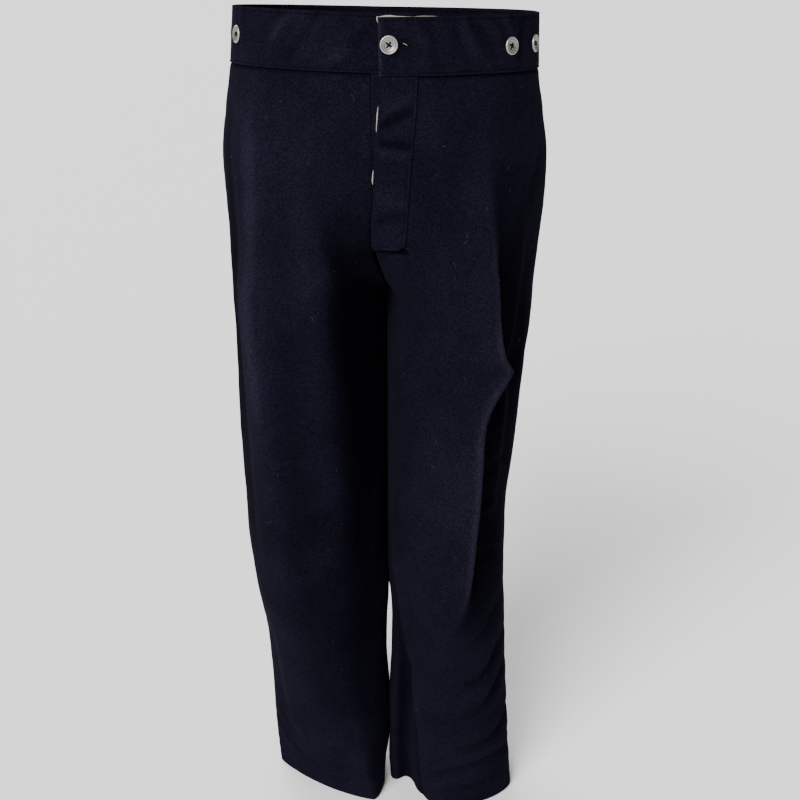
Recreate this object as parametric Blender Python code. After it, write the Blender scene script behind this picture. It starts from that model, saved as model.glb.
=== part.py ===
"""Uniform trousers of heavy wool cloth, filled out as worn, with a button fly and brace buttons.

The frame's origin is the centre of the waist opening, at the top edge of the waistband. +Z is up, the
front faces -Y, and the wearer's left leg is at +X. All sizes are in metres.
"""

import math

import bmesh
import bpy
import numpy as np
from mathutils import Matrix, Vector

# Driving sizes of the garment
OUTSEAM = 1.010
RISE = 0.300
WAISTBAND_HEIGHT = 0.057
CLOTH = 0.0020
SEAM_GAP = 0.0003
FORK = 0.105

# Waistband and its lining; the band stands a little proud of the panels below it
BAND_THICKNESS = 0.0025
BAND_PROUD = 0.0005
LINING = 0.0006
LINING_BELOW_RIM = 0.006
LINING_RIDES_UP = 0.0070
LINING_SHOWS_TO = 0.100
LINING_ABOVE_SEAM = 0.004

# The wearer's left front laps over the right one: how high it rides, and how far from its edge
LAP = 0.0041
LAP_FLAT = 0.050
LAP_END = 0.095
LAP_FADE_TOP = 0.218
LAP_FADE_BOTTOM = 0.250
BAND_UNDERLAP = 0.034

# Fly: strip on the wearer's left front, its facing, and the button stand under the right edge
FLAP_WIDTH_TOP = 0.0365
FLAP_WIDTH_BOTTOM = 0.0325
FLAP_BOTTOM = 0.236
FLAP_CORNER = 0.011
FLAP_CORNER_TURN = math.radians(84)
FLAP_CORNER_CLEAR = 0.0022
FLAP = 0.0013
FLAP_SEAT = 0.0006
FACING = 0.0006
FACING_SEAT = 0.0006
FACING_WIDTH = 0.028
FACING_BOTTOM = 0.190
FACING_INSET = 0.0004
FACING_PEEK = 0.0009
FACING_PEEKS = ((-0.0995, 0.0130), (-0.1595, 0.0075))
STAND = 0.0018
STAND_PROUD = 0.0003
STAND_SHOWS = 0.0084
STAND_SHOWS_TO = 0.185
STAND_BOTTOM = 0.205
STAND_UNDERLAP = 0.026

# Buttons: pressed metal, with a raised rim, a dished middle and four holes. The last three are shares of
# the radius at the foot, of the height at the widest place, and of the radius at the rim
BUTTON_RADIUS = 0.0090
BUTTON_HEIGHT = 0.0026
BUTTON_RIM = 0.0017
BUTTON_DISH = 0.0009
BUTTON_SEAT = 0.00045
BUTTON_HOLE_RADIUS = 0.00095
BUTTON_HOLE_SPREAD = 0.0019
BUTTON_SIDES = 20
BUTTON_HOLE_SIDES = 6
BUTTON_FOOT = 0.75
BUTTON_WAIST = 0.55
BUTTON_SHOULDER = 0.95
WAIST_BUTTON_FROM_EDGE = 0.0102
WAIST_BUTTON_DROP = 0.0262

# Brace buttons: how far round the waistband they are from the outseam, to the front where positive, and
# how far below its top edge. The two at the back are measured from the centre back instead.
BRACE_BUTTON_COLUMNS = ("name", "side", "place", "drop")
BRACE_BUTTONS = (
    ("brace_button_right_front", "right", 0.055, 0.0277),
    ("brace_button_right_side", "right", -0.015, 0.0277),
    ("brace_button_left_front", "left", 0.095, 0.0305),
    ("brace_button_left_side", "left", 0.050, 0.0300),
)
BACK_BUTTON_FROM_CENTRE = 0.045
BACK_BUTTON_DROP = 0.0290

# Grid of each half; a column nearer the fork's edge than this share of the spacing is drawn onto it
SNAP = 0.35
FRONT_COLUMNS = 17
BACK_COLUMNS = 14
HIP_ROWS = 5
FORK_ROWS = 9
LEG_ROWS = 18
BAND_ROWS = 3
FACING_ROWS = 26
STAND_ROWS = 9
FLAP_CORNER_ROWS = 5
STRIP_COLUMNS = 5
FACING_COLUMNS = 4
SECTION_POINTS = 160
STEP = 0.0015
MERGE = 0.000001
SHARP_EDGE = math.radians(45)

CROTCH_Z = -RISE
HEM_Z = -OUTSEAM
SEAM_Z = -WAISTBAND_HEIGHT

# Sections of one half, as distances from the middle plane. outer, front and back are the outermost,
# frontmost and rearmost points; inner is the inseam side of the leg. The last three columns are the
# roundness of the front towards the inseam, of the front towards the side, and of the back
# (2 is an ellipse, 1 a straight line).
SECTION_COLUMNS = (
    "z", "outer", "outer_y", "front_x", "front_y", "back_x", "back_y", "inner", "inner_y",
    "round_in", "round_out", "round_back",
)
RIGHT_SECTIONS = (
    (0.010, 0.1635, 0.000, 0.000, -0.1235, 0.000, 0.1235, 0.0000, 0.020, 2.0, 2.15, 2.2),
    (0.000, 0.1640, 0.000, 0.000, -0.1240, 0.000, 0.1240, 0.0000, 0.020, 2.0, 2.15, 2.2),
    (-0.057, 0.1690, 0.000, 0.000, -0.1255, 0.000, 0.1265, 0.0000, 0.020, 2.0, 2.15, 2.2),
    (-0.100, 0.1757, 0.000, 0.000, -0.1270, 0.000, 0.1320, 0.0000, 0.020, 2.0, 2.15, 2.2),
    (-0.160, 0.1838, 0.000, 0.005, -0.1280, 0.008, 0.1380, 0.0000, 0.020, 2.0, 2.10, 2.2),
    (-0.205, 0.1824, 0.000, 0.022, -0.1275, 0.030, 0.1375, 0.0000, 0.020, 2.0, 2.10, 2.2),
    (-0.250, 0.1808, 0.002, 0.052, -0.1260, 0.064, 0.1335, 0.0000, 0.020, 2.0, 2.05, 2.2),
    (-0.300, 0.1805, 0.004, 0.080, -0.1240, 0.088, 0.1275, 0.0000, 0.020, 2.0, 2.00, 2.1),
    (-0.350, 0.1795, 0.006, 0.088, -0.1205, 0.092, 0.1215, 0.0013, 0.020, 2.0, 2.00, 2.1),
    (-0.450, 0.1795, 0.008, 0.090, -0.1120, 0.094, 0.1125, 0.0013, 0.020, 2.0, 2.00, 2.0),
    (-0.600, 0.1785, 0.018, 0.084, -0.0950, 0.092, 0.1060, 0.0013, 0.020, 2.0, 1.90, 2.0),
    (-0.700, 0.1712, 0.026, 0.074, -0.0800, 0.088, 0.1050, 0.0030, 0.019, 1.9, 1.80, 2.0),
    (-0.790, 0.1605, 0.036, 0.060, -0.0650, 0.084, 0.1060, 0.0034, 0.017, 1.8, 1.65, 2.0),
    (-0.850, 0.1585, 0.042, 0.048, -0.0550, 0.082, 0.1090, 0.0013, 0.015, 1.8, 1.50, 2.0),
    (-0.940, 0.1570, 0.048, 0.032, -0.0420, 0.080, 0.1150, 0.0015, 0.013, 1.8, 1.40, 2.0),
    (-0.980, 0.1555, 0.052, 0.025, -0.0370, 0.080, 0.1180, 0.0070, 0.012, 1.8, 1.35, 2.0),
    (-1.020, 0.1530, 0.055, 0.020, -0.0345, 0.080, 0.1210, 0.0064, 0.011, 1.8, 1.30, 2.0),
)
LEFT_SECTIONS = (
    (0.010, 0.1632, 0.000, 0.000, -0.1235, 0.000, 0.1235, 0.0000, 0.020, 2.0, 2.15, 2.2),
    (0.000, 0.1635, 0.000, 0.000, -0.1240, 0.000, 0.1240, 0.0000, 0.020, 2.0, 2.15, 2.2),
    (-0.057, 0.1648, 0.000, 0.000, -0.1255, 0.000, 0.1265, 0.0000, 0.020, 2.0, 2.15, 2.2),
    (-0.100, 0.1705, 0.000, 0.000, -0.1270, 0.000, 0.1320, 0.0000, 0.020, 2.0, 2.15, 2.2),
    (-0.160, 0.1778, 0.000, 0.005, -0.1280, 0.008, 0.1380, 0.0000, 0.020, 2.0, 2.10, 2.2),
    (-0.205, 0.1765, 0.000, 0.022, -0.1275, 0.030, 0.1375, 0.0000, 0.020, 2.0, 2.10, 2.2),
    (-0.250, 0.1732, 0.002, 0.050, -0.1265, 0.062, 0.1335, 0.0000, 0.020, 2.0, 2.05, 2.2),
    (-0.300, 0.1700, 0.004, 0.074, -0.1250, 0.084, 0.1275, 0.0000, 0.020, 2.0, 2.00, 2.1),
    (-0.350, 0.1680, 0.004, 0.078, -0.1215, 0.086, 0.1210, 0.0013, 0.020, 2.0, 2.00, 2.1),
    (-0.430, 0.1600, 0.004, 0.080, -0.1140, 0.084, 0.1130, 0.0013, 0.020, 2.1, 2.00, 2.0),
    (-0.510, 0.1540, 0.004, 0.078, -0.1050, 0.082, 0.1080, 0.0013, 0.020, 2.1, 2.00, 2.0),
    (-0.590, 0.1468, 0.004, 0.077, -0.0960, 0.080, 0.1050, 0.0013, 0.020, 2.1, 2.00, 2.0),
    (-0.680, 0.1468, 0.004, 0.078, -0.0850, 0.080, 0.1030, 0.0018, 0.020, 2.0, 2.00, 2.0),
    (-0.730, 0.1488, 0.004, 0.080, -0.0785, 0.081, 0.1030, 0.0056, 0.018, 1.9, 2.00, 2.0),
    (-0.800, 0.1522, 0.004, 0.084, -0.0695, 0.083, 0.1040, 0.0034, 0.016, 1.8, 1.95, 2.0),
    (-0.860, 0.1560, 0.003, 0.088, -0.0620, 0.085, 0.1060, 0.0015, 0.014, 1.7, 1.90, 2.0),
    (-0.930, 0.1600, 0.002, 0.092, -0.0535, 0.086, 0.1100, 0.0013, 0.013, 1.6, 1.80, 2.0),
    (-1.020, 0.1672, 0.006, 0.094, -0.0440, 0.088, 0.1180, 0.0013, 0.012, 1.5, 1.60, 2.0),
)

# Height of the waistband's top edge over the frame's origin, at the centre front, side and centre back
RIM_HEIGHT = {"right": (-0.0018, 0.0040, 0.0000), "left": (-0.0055, -0.0030, 0.0000)}
RIM_FADE = 0.22

# Sideways place of the fly's free edge, and of the seam below it down to the crotch
EDGE_COLUMNS = ("z", "x")
FLY_EDGE = (
    (0.010, -0.0078),
    (-0.060, -0.0066),
    (-0.090, -0.0075),
    (-0.133, -0.0113),
    (-0.184, -0.0142),
    (-0.222, -0.0156),
    (-0.247, -0.0106),
    (-0.280, -0.0035),
    (-0.315, 0.0000),
)
EDGE_REACH = 0.060
EDGE_DEPTH = 0.050

# How far the legs' facing sides swing aside from front to back, so that the two legs nestle
NESTLE_COLUMNS = ("z", "swing")
NESTLE = (
    (-0.310, 0.0000),
    (-0.370, 0.0030),
    (-0.620, 0.0032),
    (-0.700, 0.0000),
    (-0.830, 0.0000),
    (-0.870, 0.0030),
    (-0.940, 0.0030),
    (-0.990, 0.0000),
)
NESTLE_Y = 0.018
NESTLE_DEPTH = 0.022
NESTLE_REACH = 0.045

# Folds. A fold runs down one half from top to bottom; its place is measured around the cloth from the
# outseam, to the front where positive and to the back where negative. It reaches this far towards the
# front and towards the back, and stands this high; a trough is negative.
FOLD_COLUMNS = (
    "side", "top_place", "top_z", "bottom_place", "bottom_z", "reach_front", "reach_back", "height",
)
FOLDS = (
    ("left", 0.060, -0.130, 0.040, -0.600, 0.014, 0.024, -0.0080),
    ("left", 0.088, -0.150, 0.072, -0.520, 0.018, 0.014, 0.0030),
    ("left", 0.200, -0.620, 0.166, -1.330, 0.016, 0.020, -0.0210),
    ("left", 0.075, -0.560, 0.020, -0.960, 0.020, 0.026, -0.0050),
    ("right", 0.205, -0.200, 0.150, -0.780, 0.040, 0.045, -0.0065),
    ("right", 0.050, -0.090, 0.036, -0.620, 0.020, 0.016, 0.0030),
    ("right", 0.018, -0.100, 0.010, -0.640, 0.014, 0.016, -0.0030),
    ("left", -0.130, -0.260, -0.105, -0.520, 0.022, 0.026, -0.0045),
    ("right", -0.135, -0.250, -0.100, -0.540, 0.024, 0.024, -0.0045),
    ("left", -0.060, -0.520, -0.090, -0.860, 0.022, 0.020, -0.0040),
    ("right", -0.050, -0.560, -0.085, -0.900, 0.020, 0.022, -0.0040),
)


def column(rows, names, name):
    """One named column of a table."""
    place = names.index(name)
    return [row[place] for row in rows]


def smooth_curve(places, values, at):
    """Values between those of a table, on a monotone cubic, so that nothing overshoots its rows."""
    x = np.array(places, float)
    y = np.array(values, float)
    if x[0] > x[-1]:
        x, y = x[::-1], y[::-1]
    step = np.diff(x)
    slope = np.diff(y) / step
    tangent = np.zeros_like(y)
    low, high = slope[:-1], slope[1:]
    weight_low = 2 * step[1:] + step[:-1]
    weight_high = step[1:] + 2 * step[:-1]
    turning = low * high <= 0
    safe_low = np.where(turning, 1.0, low)
    safe_high = np.where(turning, 1.0, high)
    mean = (weight_low + weight_high) / (weight_low / safe_low + weight_high / safe_high)
    tangent[1:-1] = np.where(turning, 0.0, mean)
    tangent[0], tangent[-1] = slope[0], slope[-1]
    at = np.clip(np.asarray(at, float), x[0], x[-1])
    i = np.clip(np.searchsorted(x, at) - 1, 0, len(step) - 1)
    t = (at - x[i]) / step[i]
    return (
        (1 + 2 * t) * (1 - t) ** 2 * y[i]
        + t * (1 - t) ** 2 * step[i] * tangent[i]
        + t * t * (3 - 2 * t) * y[i + 1]
        + t * t * (t - 1) * step[i] * tangent[i + 1]
    )


def ease(t):
    """0 below 0, 1 above 1, and smooth between."""
    t = np.clip(t, 0.0, 1.0)
    return t * t * (3 - 2 * t)


def section_sizes(side, z):
    """The half's section table, worked out for any height."""
    rows = RIGHT_SECTIONS if side == "right" else LEFT_SECTIONS
    places = column(rows, SECTION_COLUMNS, "z")
    return {
        name: float(smooth_curve(places, column(rows, SECTION_COLUMNS, name), z))
        for name in SECTION_COLUMNS[1:]
    }


def quarter(side_point, end_point, roundness, start=0.0):
    """A quarter superellipse, from a sideways extreme to a front or back one, less a share at its start."""
    power = 2 / roundness
    turn = np.linspace(start, math.pi / 2, SECTION_POINTS)
    across = np.cos(turn).clip(0, 1) ** power
    along = np.sin(turn).clip(0, 1) ** power
    x = end_point[0] + (side_point[0] - end_point[0]) * across
    y = side_point[1] + (end_point[1] - side_point[1]) * along
    return np.stack([x, y], axis=1)


def inner_quarter(inner, end_point, roundness, share):
    """The quarter beside the inseam. Above the crotch it starts on the middle plane, where the halves join."""
    if share <= 0.0:
        return quarter(inner, end_point, roundness)
    if share >= 0.9999 or end_point[0] < 1e-5:
        flat = np.linspace(0.0, end_point[0], SECTION_POINTS)
        return np.stack([flat, np.full(SECTION_POINTS, end_point[1])], axis=1)
    power = 2 / roundness
    start = math.asin(share ** (1 / power))
    reach = end_point[0] / math.cos(start) ** power
    return quarter((end_point[0] - reach, inner[1]), end_point, roundness, start)


def plain_section(side, z, forked=True):
    """The half's outline before folds, as distances from the middle plane: its front part, from the centre
    front or inseam to the outseam, and its back part, from there to the centre back or inseam. Unforked, it
    runs right round the leg at any height."""
    size = section_sizes(side, z)
    inner = (size["inner"], size["inner_y"])
    outer = (size["outer"], size["outer_y"])
    front_end = (size["front_x"], size["front_y"])
    back_end = (size["back_x"], size["back_y"])
    up = min(max((z - CROTCH_Z) / FORK, 0.0), 1.0) if forked else 0.0
    joined = math.sqrt(1 - (1 - up) ** 2)
    front = np.concatenate([
        inner_quarter(inner, front_end, size["round_in"], joined),
        quarter(outer, front_end, size["round_out"])[-2::-1],
    ])
    back = np.concatenate([
        quarter(outer, back_end, size["round_back"]),
        inner_quarter(inner, back_end, size["round_back"], joined)[-2::-1],
    ])
    return front, back


def lengths_along(line):
    """Distance from the start of a line of points to each of them."""
    return np.concatenate([[0.0], np.cumsum(np.linalg.norm(np.diff(line, axis=0), axis=1))])


def widths(side, z, forked=True):
    """Width of the front panel and of the back panel, measured around the cloth."""
    return tuple(lengths_along(line)[-1] for line in plain_section(side, z, forked))


def fold_height(side, place, z, around):
    """How far the folds carry the cloth out, at places measured from the outseam."""
    total = np.zeros(len(place))
    for row in FOLDS:
        fold = dict(zip(FOLD_COLUMNS, row))
        if fold["side"] != side or not fold["bottom_z"] < z < fold["top_z"]:
            continue
        down = (fold["top_z"] - z) / (fold["top_z"] - fold["bottom_z"])
        middle = fold["top_place"] + (fold["bottom_place"] - fold["top_place"]) * down
        away = place - middle
        if z < CROTCH_Z:
            away = (away + around / 2) % around - around / 2
        reach = np.where(away > 0, fold["reach_front"], fold["reach_back"])
        total += fold["height"] * math.sin(math.pi * down) * np.exp(-((away / reach) ** 2))
    return total


def lap_height(from_edge, z):
    """How far the left front rides over the right one, at a distance from its edge."""
    near = ease((LAP_END - from_edge) / (LAP_END - LAP_FLAT))
    return LAP * near * ease((z + LAP_FADE_BOTTOM) / (LAP_FADE_BOTTOM - LAP_FADE_TOP))


def across_middle(x, y, z):
    """Sideways shift near the middle plane: the fly edge's own line, and the nestling of the two legs."""
    edge = smooth_curve(column(FLY_EDGE, EDGE_COLUMNS, "z"), column(FLY_EDGE, EDGE_COLUMNS, "x"), z)
    swing = smooth_curve(column(NESTLE, NESTLE_COLUMNS, "z"), column(NESTLE, NESTLE_COLUMNS, "swing"), z)
    at_front = edge * ease(-y / EDGE_DEPTH) * np.exp(-((x / EDGE_REACH) ** 2))
    between = swing * np.tanh((y - NESTLE_Y) / NESTLE_DEPTH) * np.exp(-((x / NESTLE_REACH) ** 2))
    return at_front + between


def whole_outline(side, z):
    """The half's plain outline as one line that runs on past both its ends: around the leg again below the
    crotch, and into the mirrored other half above it. Also the widths of the front and of the back part."""
    front, back = plain_section(side, z)
    line = np.concatenate([front, back[1:]])
    along = lengths_along(line)
    front_width, around = along[len(front) - 1], along[-1]
    if z < CROTCH_Z:
        before, after = line[:-1], line[1:]
        along = np.concatenate([along[:-1] - around, along, along[1:] + around])
    else:
        mirrored = line[::-1] * (-1.0, 1.0)
        before, after = mirrored[:-1], mirrored[1:]
        along = np.concatenate([-along[:0:-1], along, 2 * around - along[-2::-1]])
    return np.concatenate([before, line, after]), along, front_width, around - front_width


def bare_ring(side, z, place):
    """Points of the cloth's outer face around one half, at places measured around the cloth from the outseam,
    to the front where positive and to the back where negative."""
    line, along, front_width, back_width = whole_outline(side, z)
    around = front_width + back_width
    if z < CROTCH_Z:
        place = (place + back_width) % around - back_width
    distance = front_width - place

    def at(shift):
        return np.stack([np.interp(distance + shift, along, line[:, k]) for k in range(2)], axis=1)

    tangent = at(STEP) - at(-STEP)
    tangent /= np.linalg.norm(tangent, axis=1)[:, None]
    outward = np.stack([tangent[:, 1], -tangent[:, 0]], axis=1)
    flat = at(0.0) + outward * fold_height(side, place, z, around)[:, None]
    x = flat[:, 0] + np.where(distance < -MERGE, -SEAM_GAP / 2, SEAM_GAP / 2)
    y = flat[:, 1]
    if side == "left":
        y = y - np.where(place > 0, lap_height(distance, z), 0.0)
    else:
        x = -x
    front_rim, side_rim, back_rim = RIM_HEIGHT[side]
    share = np.where(place > 0, distance / front_width, 1 - place / back_width)
    rim = smooth_curve((0.0, 1.0, 2.0), (front_rim, side_rim, back_rim), share)
    return np.stack([x + across_middle(x, y, z), y, z + rim * ease(1 + z / RIM_FADE)], axis=1)


def ring(side, z, place, level):
    """Points around one half, at places measured from the outseam and at a level over the cloth's outer
    face; a negative level is inside it."""
    place = np.asarray(place, float)
    front_width, back_width = widths(side, z)
    before, after = place + STEP, place - STEP
    if z >= CROTCH_Z:
        before = np.where(place <= front_width + MERGE, np.minimum(before, front_width), before)
        after = np.maximum(after, -back_width)
    around = bare_ring(side, z, after) - bare_ring(side, z, before)
    here = bare_ring(side, z, place)
    up = here - bare_ring(side, z - STEP, place)
    outward = np.cross(around, up) * (-1.0 if side == "right" else 1.0)
    outward /= np.linalg.norm(outward, axis=1)[:, None]
    return here + outward * level


def from_edge(side, z, distance):
    """Places at these distances from the centre front."""
    return widths(side, z)[0] - np.asarray(distance, float)


def material(name, colour, roughness, metallic=0.0):
    """A plain material of the piece's colour."""
    made = bpy.data.materials.new(name)
    made.use_nodes = True
    shader = made.node_tree.nodes["Principled BSDF"]
    shader.inputs["Base Color"].default_value = (*colour, 1.0)
    shader.inputs["Roughness"].default_value = roughness
    shader.inputs["Metallic"].default_value = metallic
    return made


def add_piece(name, vertices, faces, finish):
    """A named object of its own mesh and material, shaded smooth but for its edges."""
    mesh = bpy.data.meshes.new(name)
    mesh.from_pydata([tuple(point) for point in vertices], [], faces)
    shape = bmesh.new()
    shape.from_mesh(mesh)
    bmesh.ops.remove_doubles(shape, verts=shape.verts, dist=MERGE)
    shape.to_mesh(mesh)
    shape.free()
    mesh.materials.append(finish)
    mesh.shade_smooth()
    mesh.set_sharp_from_angle(angle=SHARP_EDGE)
    piece = bpy.data.objects.new(name, mesh)
    bpy.context.collection.objects.link(piece)
    return piece


def add_wall(name, outer, inner, flip, finish):
    """A closed wall of cloth between two grids of points, each a list of rows from top to bottom."""
    rows, columns = len(outer), len(outer[0])
    vertices = np.concatenate([np.concatenate(outer), np.concatenate(inner)])
    inside = rows * columns
    faces = []

    def add(*corners):
        faces.append(corners[::-1] if flip else corners)

    for r in range(rows - 1):
        for c in range(columns - 1):
            a = r * columns + c
            b, d = a + 1, a + columns
            add(a, d, d + 1)
            add(a, d + 1, b)
            add(a + inside, d + 1 + inside, d + inside)
            add(a + inside, b + inside, d + 1 + inside)
    for c in range(columns - 1):
        bottom = (rows - 1) * columns + c
        add(c, c + 1, c + 1 + inside, c + inside)
        add(bottom + 1, bottom, bottom + inside, bottom + 1 + inside)
    for r in range(rows - 1):
        start = r * columns
        end = start + columns - 1
        add(start + columns, start, start + inside, start + columns + inside)
        add(end, end + columns, end + columns + inside, end + inside)
    return add_piece(name, vertices, faces, finish)


def leg_heights():
    """Heights of a panel's rows: the hip, the fork, where they close up towards the crotch, and the leg."""
    fork_top = CROTCH_Z + FORK
    hip = np.linspace(SEAM_Z - SEAM_GAP, fork_top, HIP_ROWS, endpoint=False)
    turn = np.linspace(math.pi / 2, 0, FORK_ROWS, endpoint=False)
    fork = CROTCH_Z + FORK * (1 - np.cos(turn))
    leg = np.linspace(CROTCH_Z, HEM_Z, LEG_ROWS + 1)
    return np.concatenate([hip, fork, leg])


def stand_edge(z):
    """How far the right front's edge stops short of the fly's edge, where the button stand shows."""
    return STAND_SHOWS * float(ease((z + STAND_SHOWS_TO) / (STAND_SHOWS_TO - WAISTBAND_HEIGHT)))


def panel_places(side, part, z):
    """Places of a panel's columns. They keep their spacing up past the fork, where its edge cuts them off."""
    which = 0 if part == "front" else 1
    count = FRONT_COLUMNS if part == "front" else BACK_COLUMNS
    full, cut = widths(side, z, forked=False)[which], widths(side, z)[which]
    edge = cut - (SEAM_GAP / 2 if z <= CROTCH_Z else 0.0)
    if side == "right" and part == "front":
        edge -= stand_edge(z)
    place = np.linspace(0.0, full, count + 1)
    place = np.where(place > edge - full / count * SNAP, edge, place)
    place[0] = SEAM_GAP / 2
    return place if part == "front" else -place


def make_panel(side, part, finish):
    """The front or back panel of one half, from the waistband's seam to the hem."""
    outer, inner = [], []
    for z in leg_heights():
        place = panel_places(side, part, z)
        outer.append(ring(side, z, place, 0.0))
        inner.append(ring(side, z, place, -CLOTH))
    flip = (side == "right") == (part == "back")
    return add_wall(f"{side}_{part}", outer, inner, flip, finish)


def band_places(side, z, past_middle):
    """Columns of a waistband half, from a distance past the centre front to the centre back."""
    front_width, back_width = widths(side, z)
    front = np.linspace(front_width + past_middle, 0.0, FRONT_COLUMNS, endpoint=False)
    return np.concatenate([front, np.linspace(0.0, -back_width, BACK_COLUMNS + 1)])


def make_waistband(side, finish):
    """One half of the waistband. The right half runs on under the left one in front."""
    past_middle = BAND_UNDERLAP if side == "right" else 0.0
    outer, inner = [], []
    for z in np.linspace(0.0, SEAM_Z, BAND_ROWS + 1):
        place = band_places(side, z, past_middle)
        outer.append(ring(side, z, place, BAND_PROUD))
        inner.append(ring(side, z, place, BAND_PROUD - BAND_THICKNESS))
    return add_wall(f"waistband_{side}", outer, inner, side == "right", finish)


def make_band_lining(side, finish):
    """The light lining band inside a waistband half. At the left front it has ridden up past the rim."""
    past_middle = BAND_UNDERLAP if side == "right" else 0.0
    level = BAND_PROUD - BAND_THICKNESS - SEAM_GAP
    outer, inner = [], []
    for down in np.linspace(0.0, 1.0, BAND_ROWS + 1):
        z = (SEAM_Z + LINING_ABOVE_SEAM) * down - LINING_BELOW_RIM * (1 - down)
        place = band_places(side, z, past_middle)
        from_front = ease(2 * (1 - (place[0] - place) / LINING_SHOWS_TO))
        ridden = LINING_RIDES_UP * from_front if side == "left" else 0.0
        face = ring(side, z, place, level)
        back = ring(side, z, place, level - LINING)
        raised = np.zeros_like(face)
        raised[:, 2] = ridden * (1 - down)
        outer.append(face + raised)
        inner.append(back + raised)
    return add_wall(f"waistband_lining_{side}", outer, inner, side == "right", finish)


def flap_edge_distance(z):
    """Distance of the flap's stitched side from its free edge, rounded in at the bottom corner."""
    top, bottom = SEAM_Z - SEAM_GAP, -FLAP_BOTTOM
    down = (top - z) / (top - bottom)
    width = FLAP_WIDTH_TOP + (FLAP_WIDTH_BOTTOM - FLAP_WIDTH_TOP) * down
    into = min(max((bottom + FLAP_CORNER - z) / FLAP_CORNER, 0.0), 1.0)
    return width - FLAP_CORNER * (1 - math.sqrt(1 - into ** 2))


def make_flap(finish):
    """The stitched strip on the wearer's left front. Its bottom corner is a quarter circle."""
    bottom = -FLAP_BOTTOM
    straight = [z for z in leg_heights() if z > bottom + FLAP_CORNER + FLAP_CORNER_CLEAR]
    corner = bottom + FLAP_CORNER * (1 - np.sin(np.linspace(0, FLAP_CORNER_TURN, FLAP_CORNER_ROWS)))
    outer, inner = [], []
    for z in np.concatenate([straight, corner]):
        place = from_edge("left", z, np.linspace(0.0, flap_edge_distance(z), STRIP_COLUMNS))
        outer.append(ring("left", z, place, FLAP_SEAT + FLAP))
        inner.append(ring("left", z, place, FLAP_SEAT))
    return add_wall("fly_flap", outer, inner, False, finish)


def make_facing(finish):
    """The light facing under the fly's free edge, which peeks out in two places."""
    outer, inner = [], []
    level = -CLOTH - FACING_SEAT
    for z in np.linspace(SEAM_Z - LINING_ABOVE_SEAM, -FACING_BOTTOM, FACING_ROWS):
        peek = sum(math.exp(-(((z - middle) / reach) ** 4)) for middle, reach in FACING_PEEKS)
        start = FACING_INSET - (FACING_PEEK + FACING_INSET) * peek
        place = from_edge("left", z, np.linspace(start, FACING_WIDTH, FACING_COLUMNS))
        outer.append(ring("left", z, place, level))
        inner.append(ring("left", z, place, level - FACING))
    return add_wall("fly_facing", outer, inner, False, finish)


def make_stand(finish):
    """The button stand, sewn to the right front's edge and reaching under the left front."""
    outer, inner = [], []
    for z in np.linspace(SEAM_Z - SEAM_GAP, -STAND_BOTTOM, STAND_ROWS):
        place = from_edge("right", z, np.linspace(-STAND_UNDERLAP, stand_edge(z) - SEAM_GAP, STRIP_COLUMNS))
        outer.append(ring("right", z, place, STAND_PROUD))
        inner.append(ring("right", z, place, STAND_PROUD - STAND))
    return add_wall("fly_stand", outer, inner, True, finish)


def button_mesh(finish):
    """A turned disc with a flat rim and a dished middle, and four holes through it."""
    profile = (
        (0.0, 0.0),
        (BUTTON_RADIUS * BUTTON_FOOT, 0.0),
        (BUTTON_RADIUS, BUTTON_HEIGHT * BUTTON_WAIST),
        (BUTTON_RADIUS * BUTTON_SHOULDER, BUTTON_HEIGHT),
        (BUTTON_RADIUS - BUTTON_RIM, BUTTON_HEIGHT),
        (BUTTON_RADIUS - BUTTON_RIM - BUTTON_DISH, BUTTON_HEIGHT - BUTTON_DISH),
        (0.0, BUTTON_HEIGHT - BUTTON_DISH),
    )
    shape = bmesh.new()
    loops = []
    for radius, height in profile:
        if radius == 0.0:
            loops.append([shape.verts.new((0.0, 0.0, height))] * BUTTON_SIDES)
            continue
        turns = [2 * math.pi * k / BUTTON_SIDES for k in range(BUTTON_SIDES)]
        loops.append([
            shape.verts.new((radius * math.cos(turn), radius * math.sin(turn), height)) for turn in turns
        ])
    for low, high in zip(loops, loops[1:]):
        for k in range(BUTTON_SIDES):
            after = (k + 1) % BUTTON_SIDES
            corners = [low[k], low[after], high[after], high[k]]
            shape.faces.new(list(dict.fromkeys(corners)))
    bmesh.ops.recalc_face_normals(shape, faces=shape.faces)
    mesh = bpy.data.meshes.new("button")
    shape.to_mesh(mesh)
    shape.free()
    mesh.materials.append(finish)
    return mesh


def button_with_holes(finish):
    """The button's mesh with its four holes cut through."""
    blank = bpy.data.objects.new("button_blank", button_mesh(finish))
    bpy.context.collection.objects.link(blank)
    cutter_shape = bmesh.new()
    for across in (-1, 1):
        for along in (-1, 1):
            centre = Vector((across, along, 0.0)) * BUTTON_HOLE_SPREAD
            centre.z = BUTTON_HEIGHT / 2
            bmesh.ops.create_cone(
                cutter_shape, cap_ends=True, segments=BUTTON_HOLE_SIDES, radius1=BUTTON_HOLE_RADIUS,
                radius2=BUTTON_HOLE_RADIUS, depth=BUTTON_HEIGHT * 2, matrix=Matrix.Translation(centre),
            )
    cutter_mesh = bpy.data.meshes.new("button_holes")
    cutter_shape.to_mesh(cutter_mesh)
    cutter_shape.free()
    cutter = bpy.data.objects.new("button_holes", cutter_mesh)
    bpy.context.collection.objects.link(cutter)
    cut = blank.modifiers.new("holes", "BOOLEAN")
    cut.object = cutter
    cut.operation = "DIFFERENCE"
    cut.solver = "EXACT"
    depsgraph = bpy.context.evaluated_depsgraph_get()
    made = bpy.data.meshes.new_from_object(blank.evaluated_get(depsgraph))
    made.shade_smooth()
    made.set_sharp_from_angle(angle=SHARP_EDGE)
    bpy.data.objects.remove(blank)
    bpy.data.objects.remove(cutter)
    return made


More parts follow.
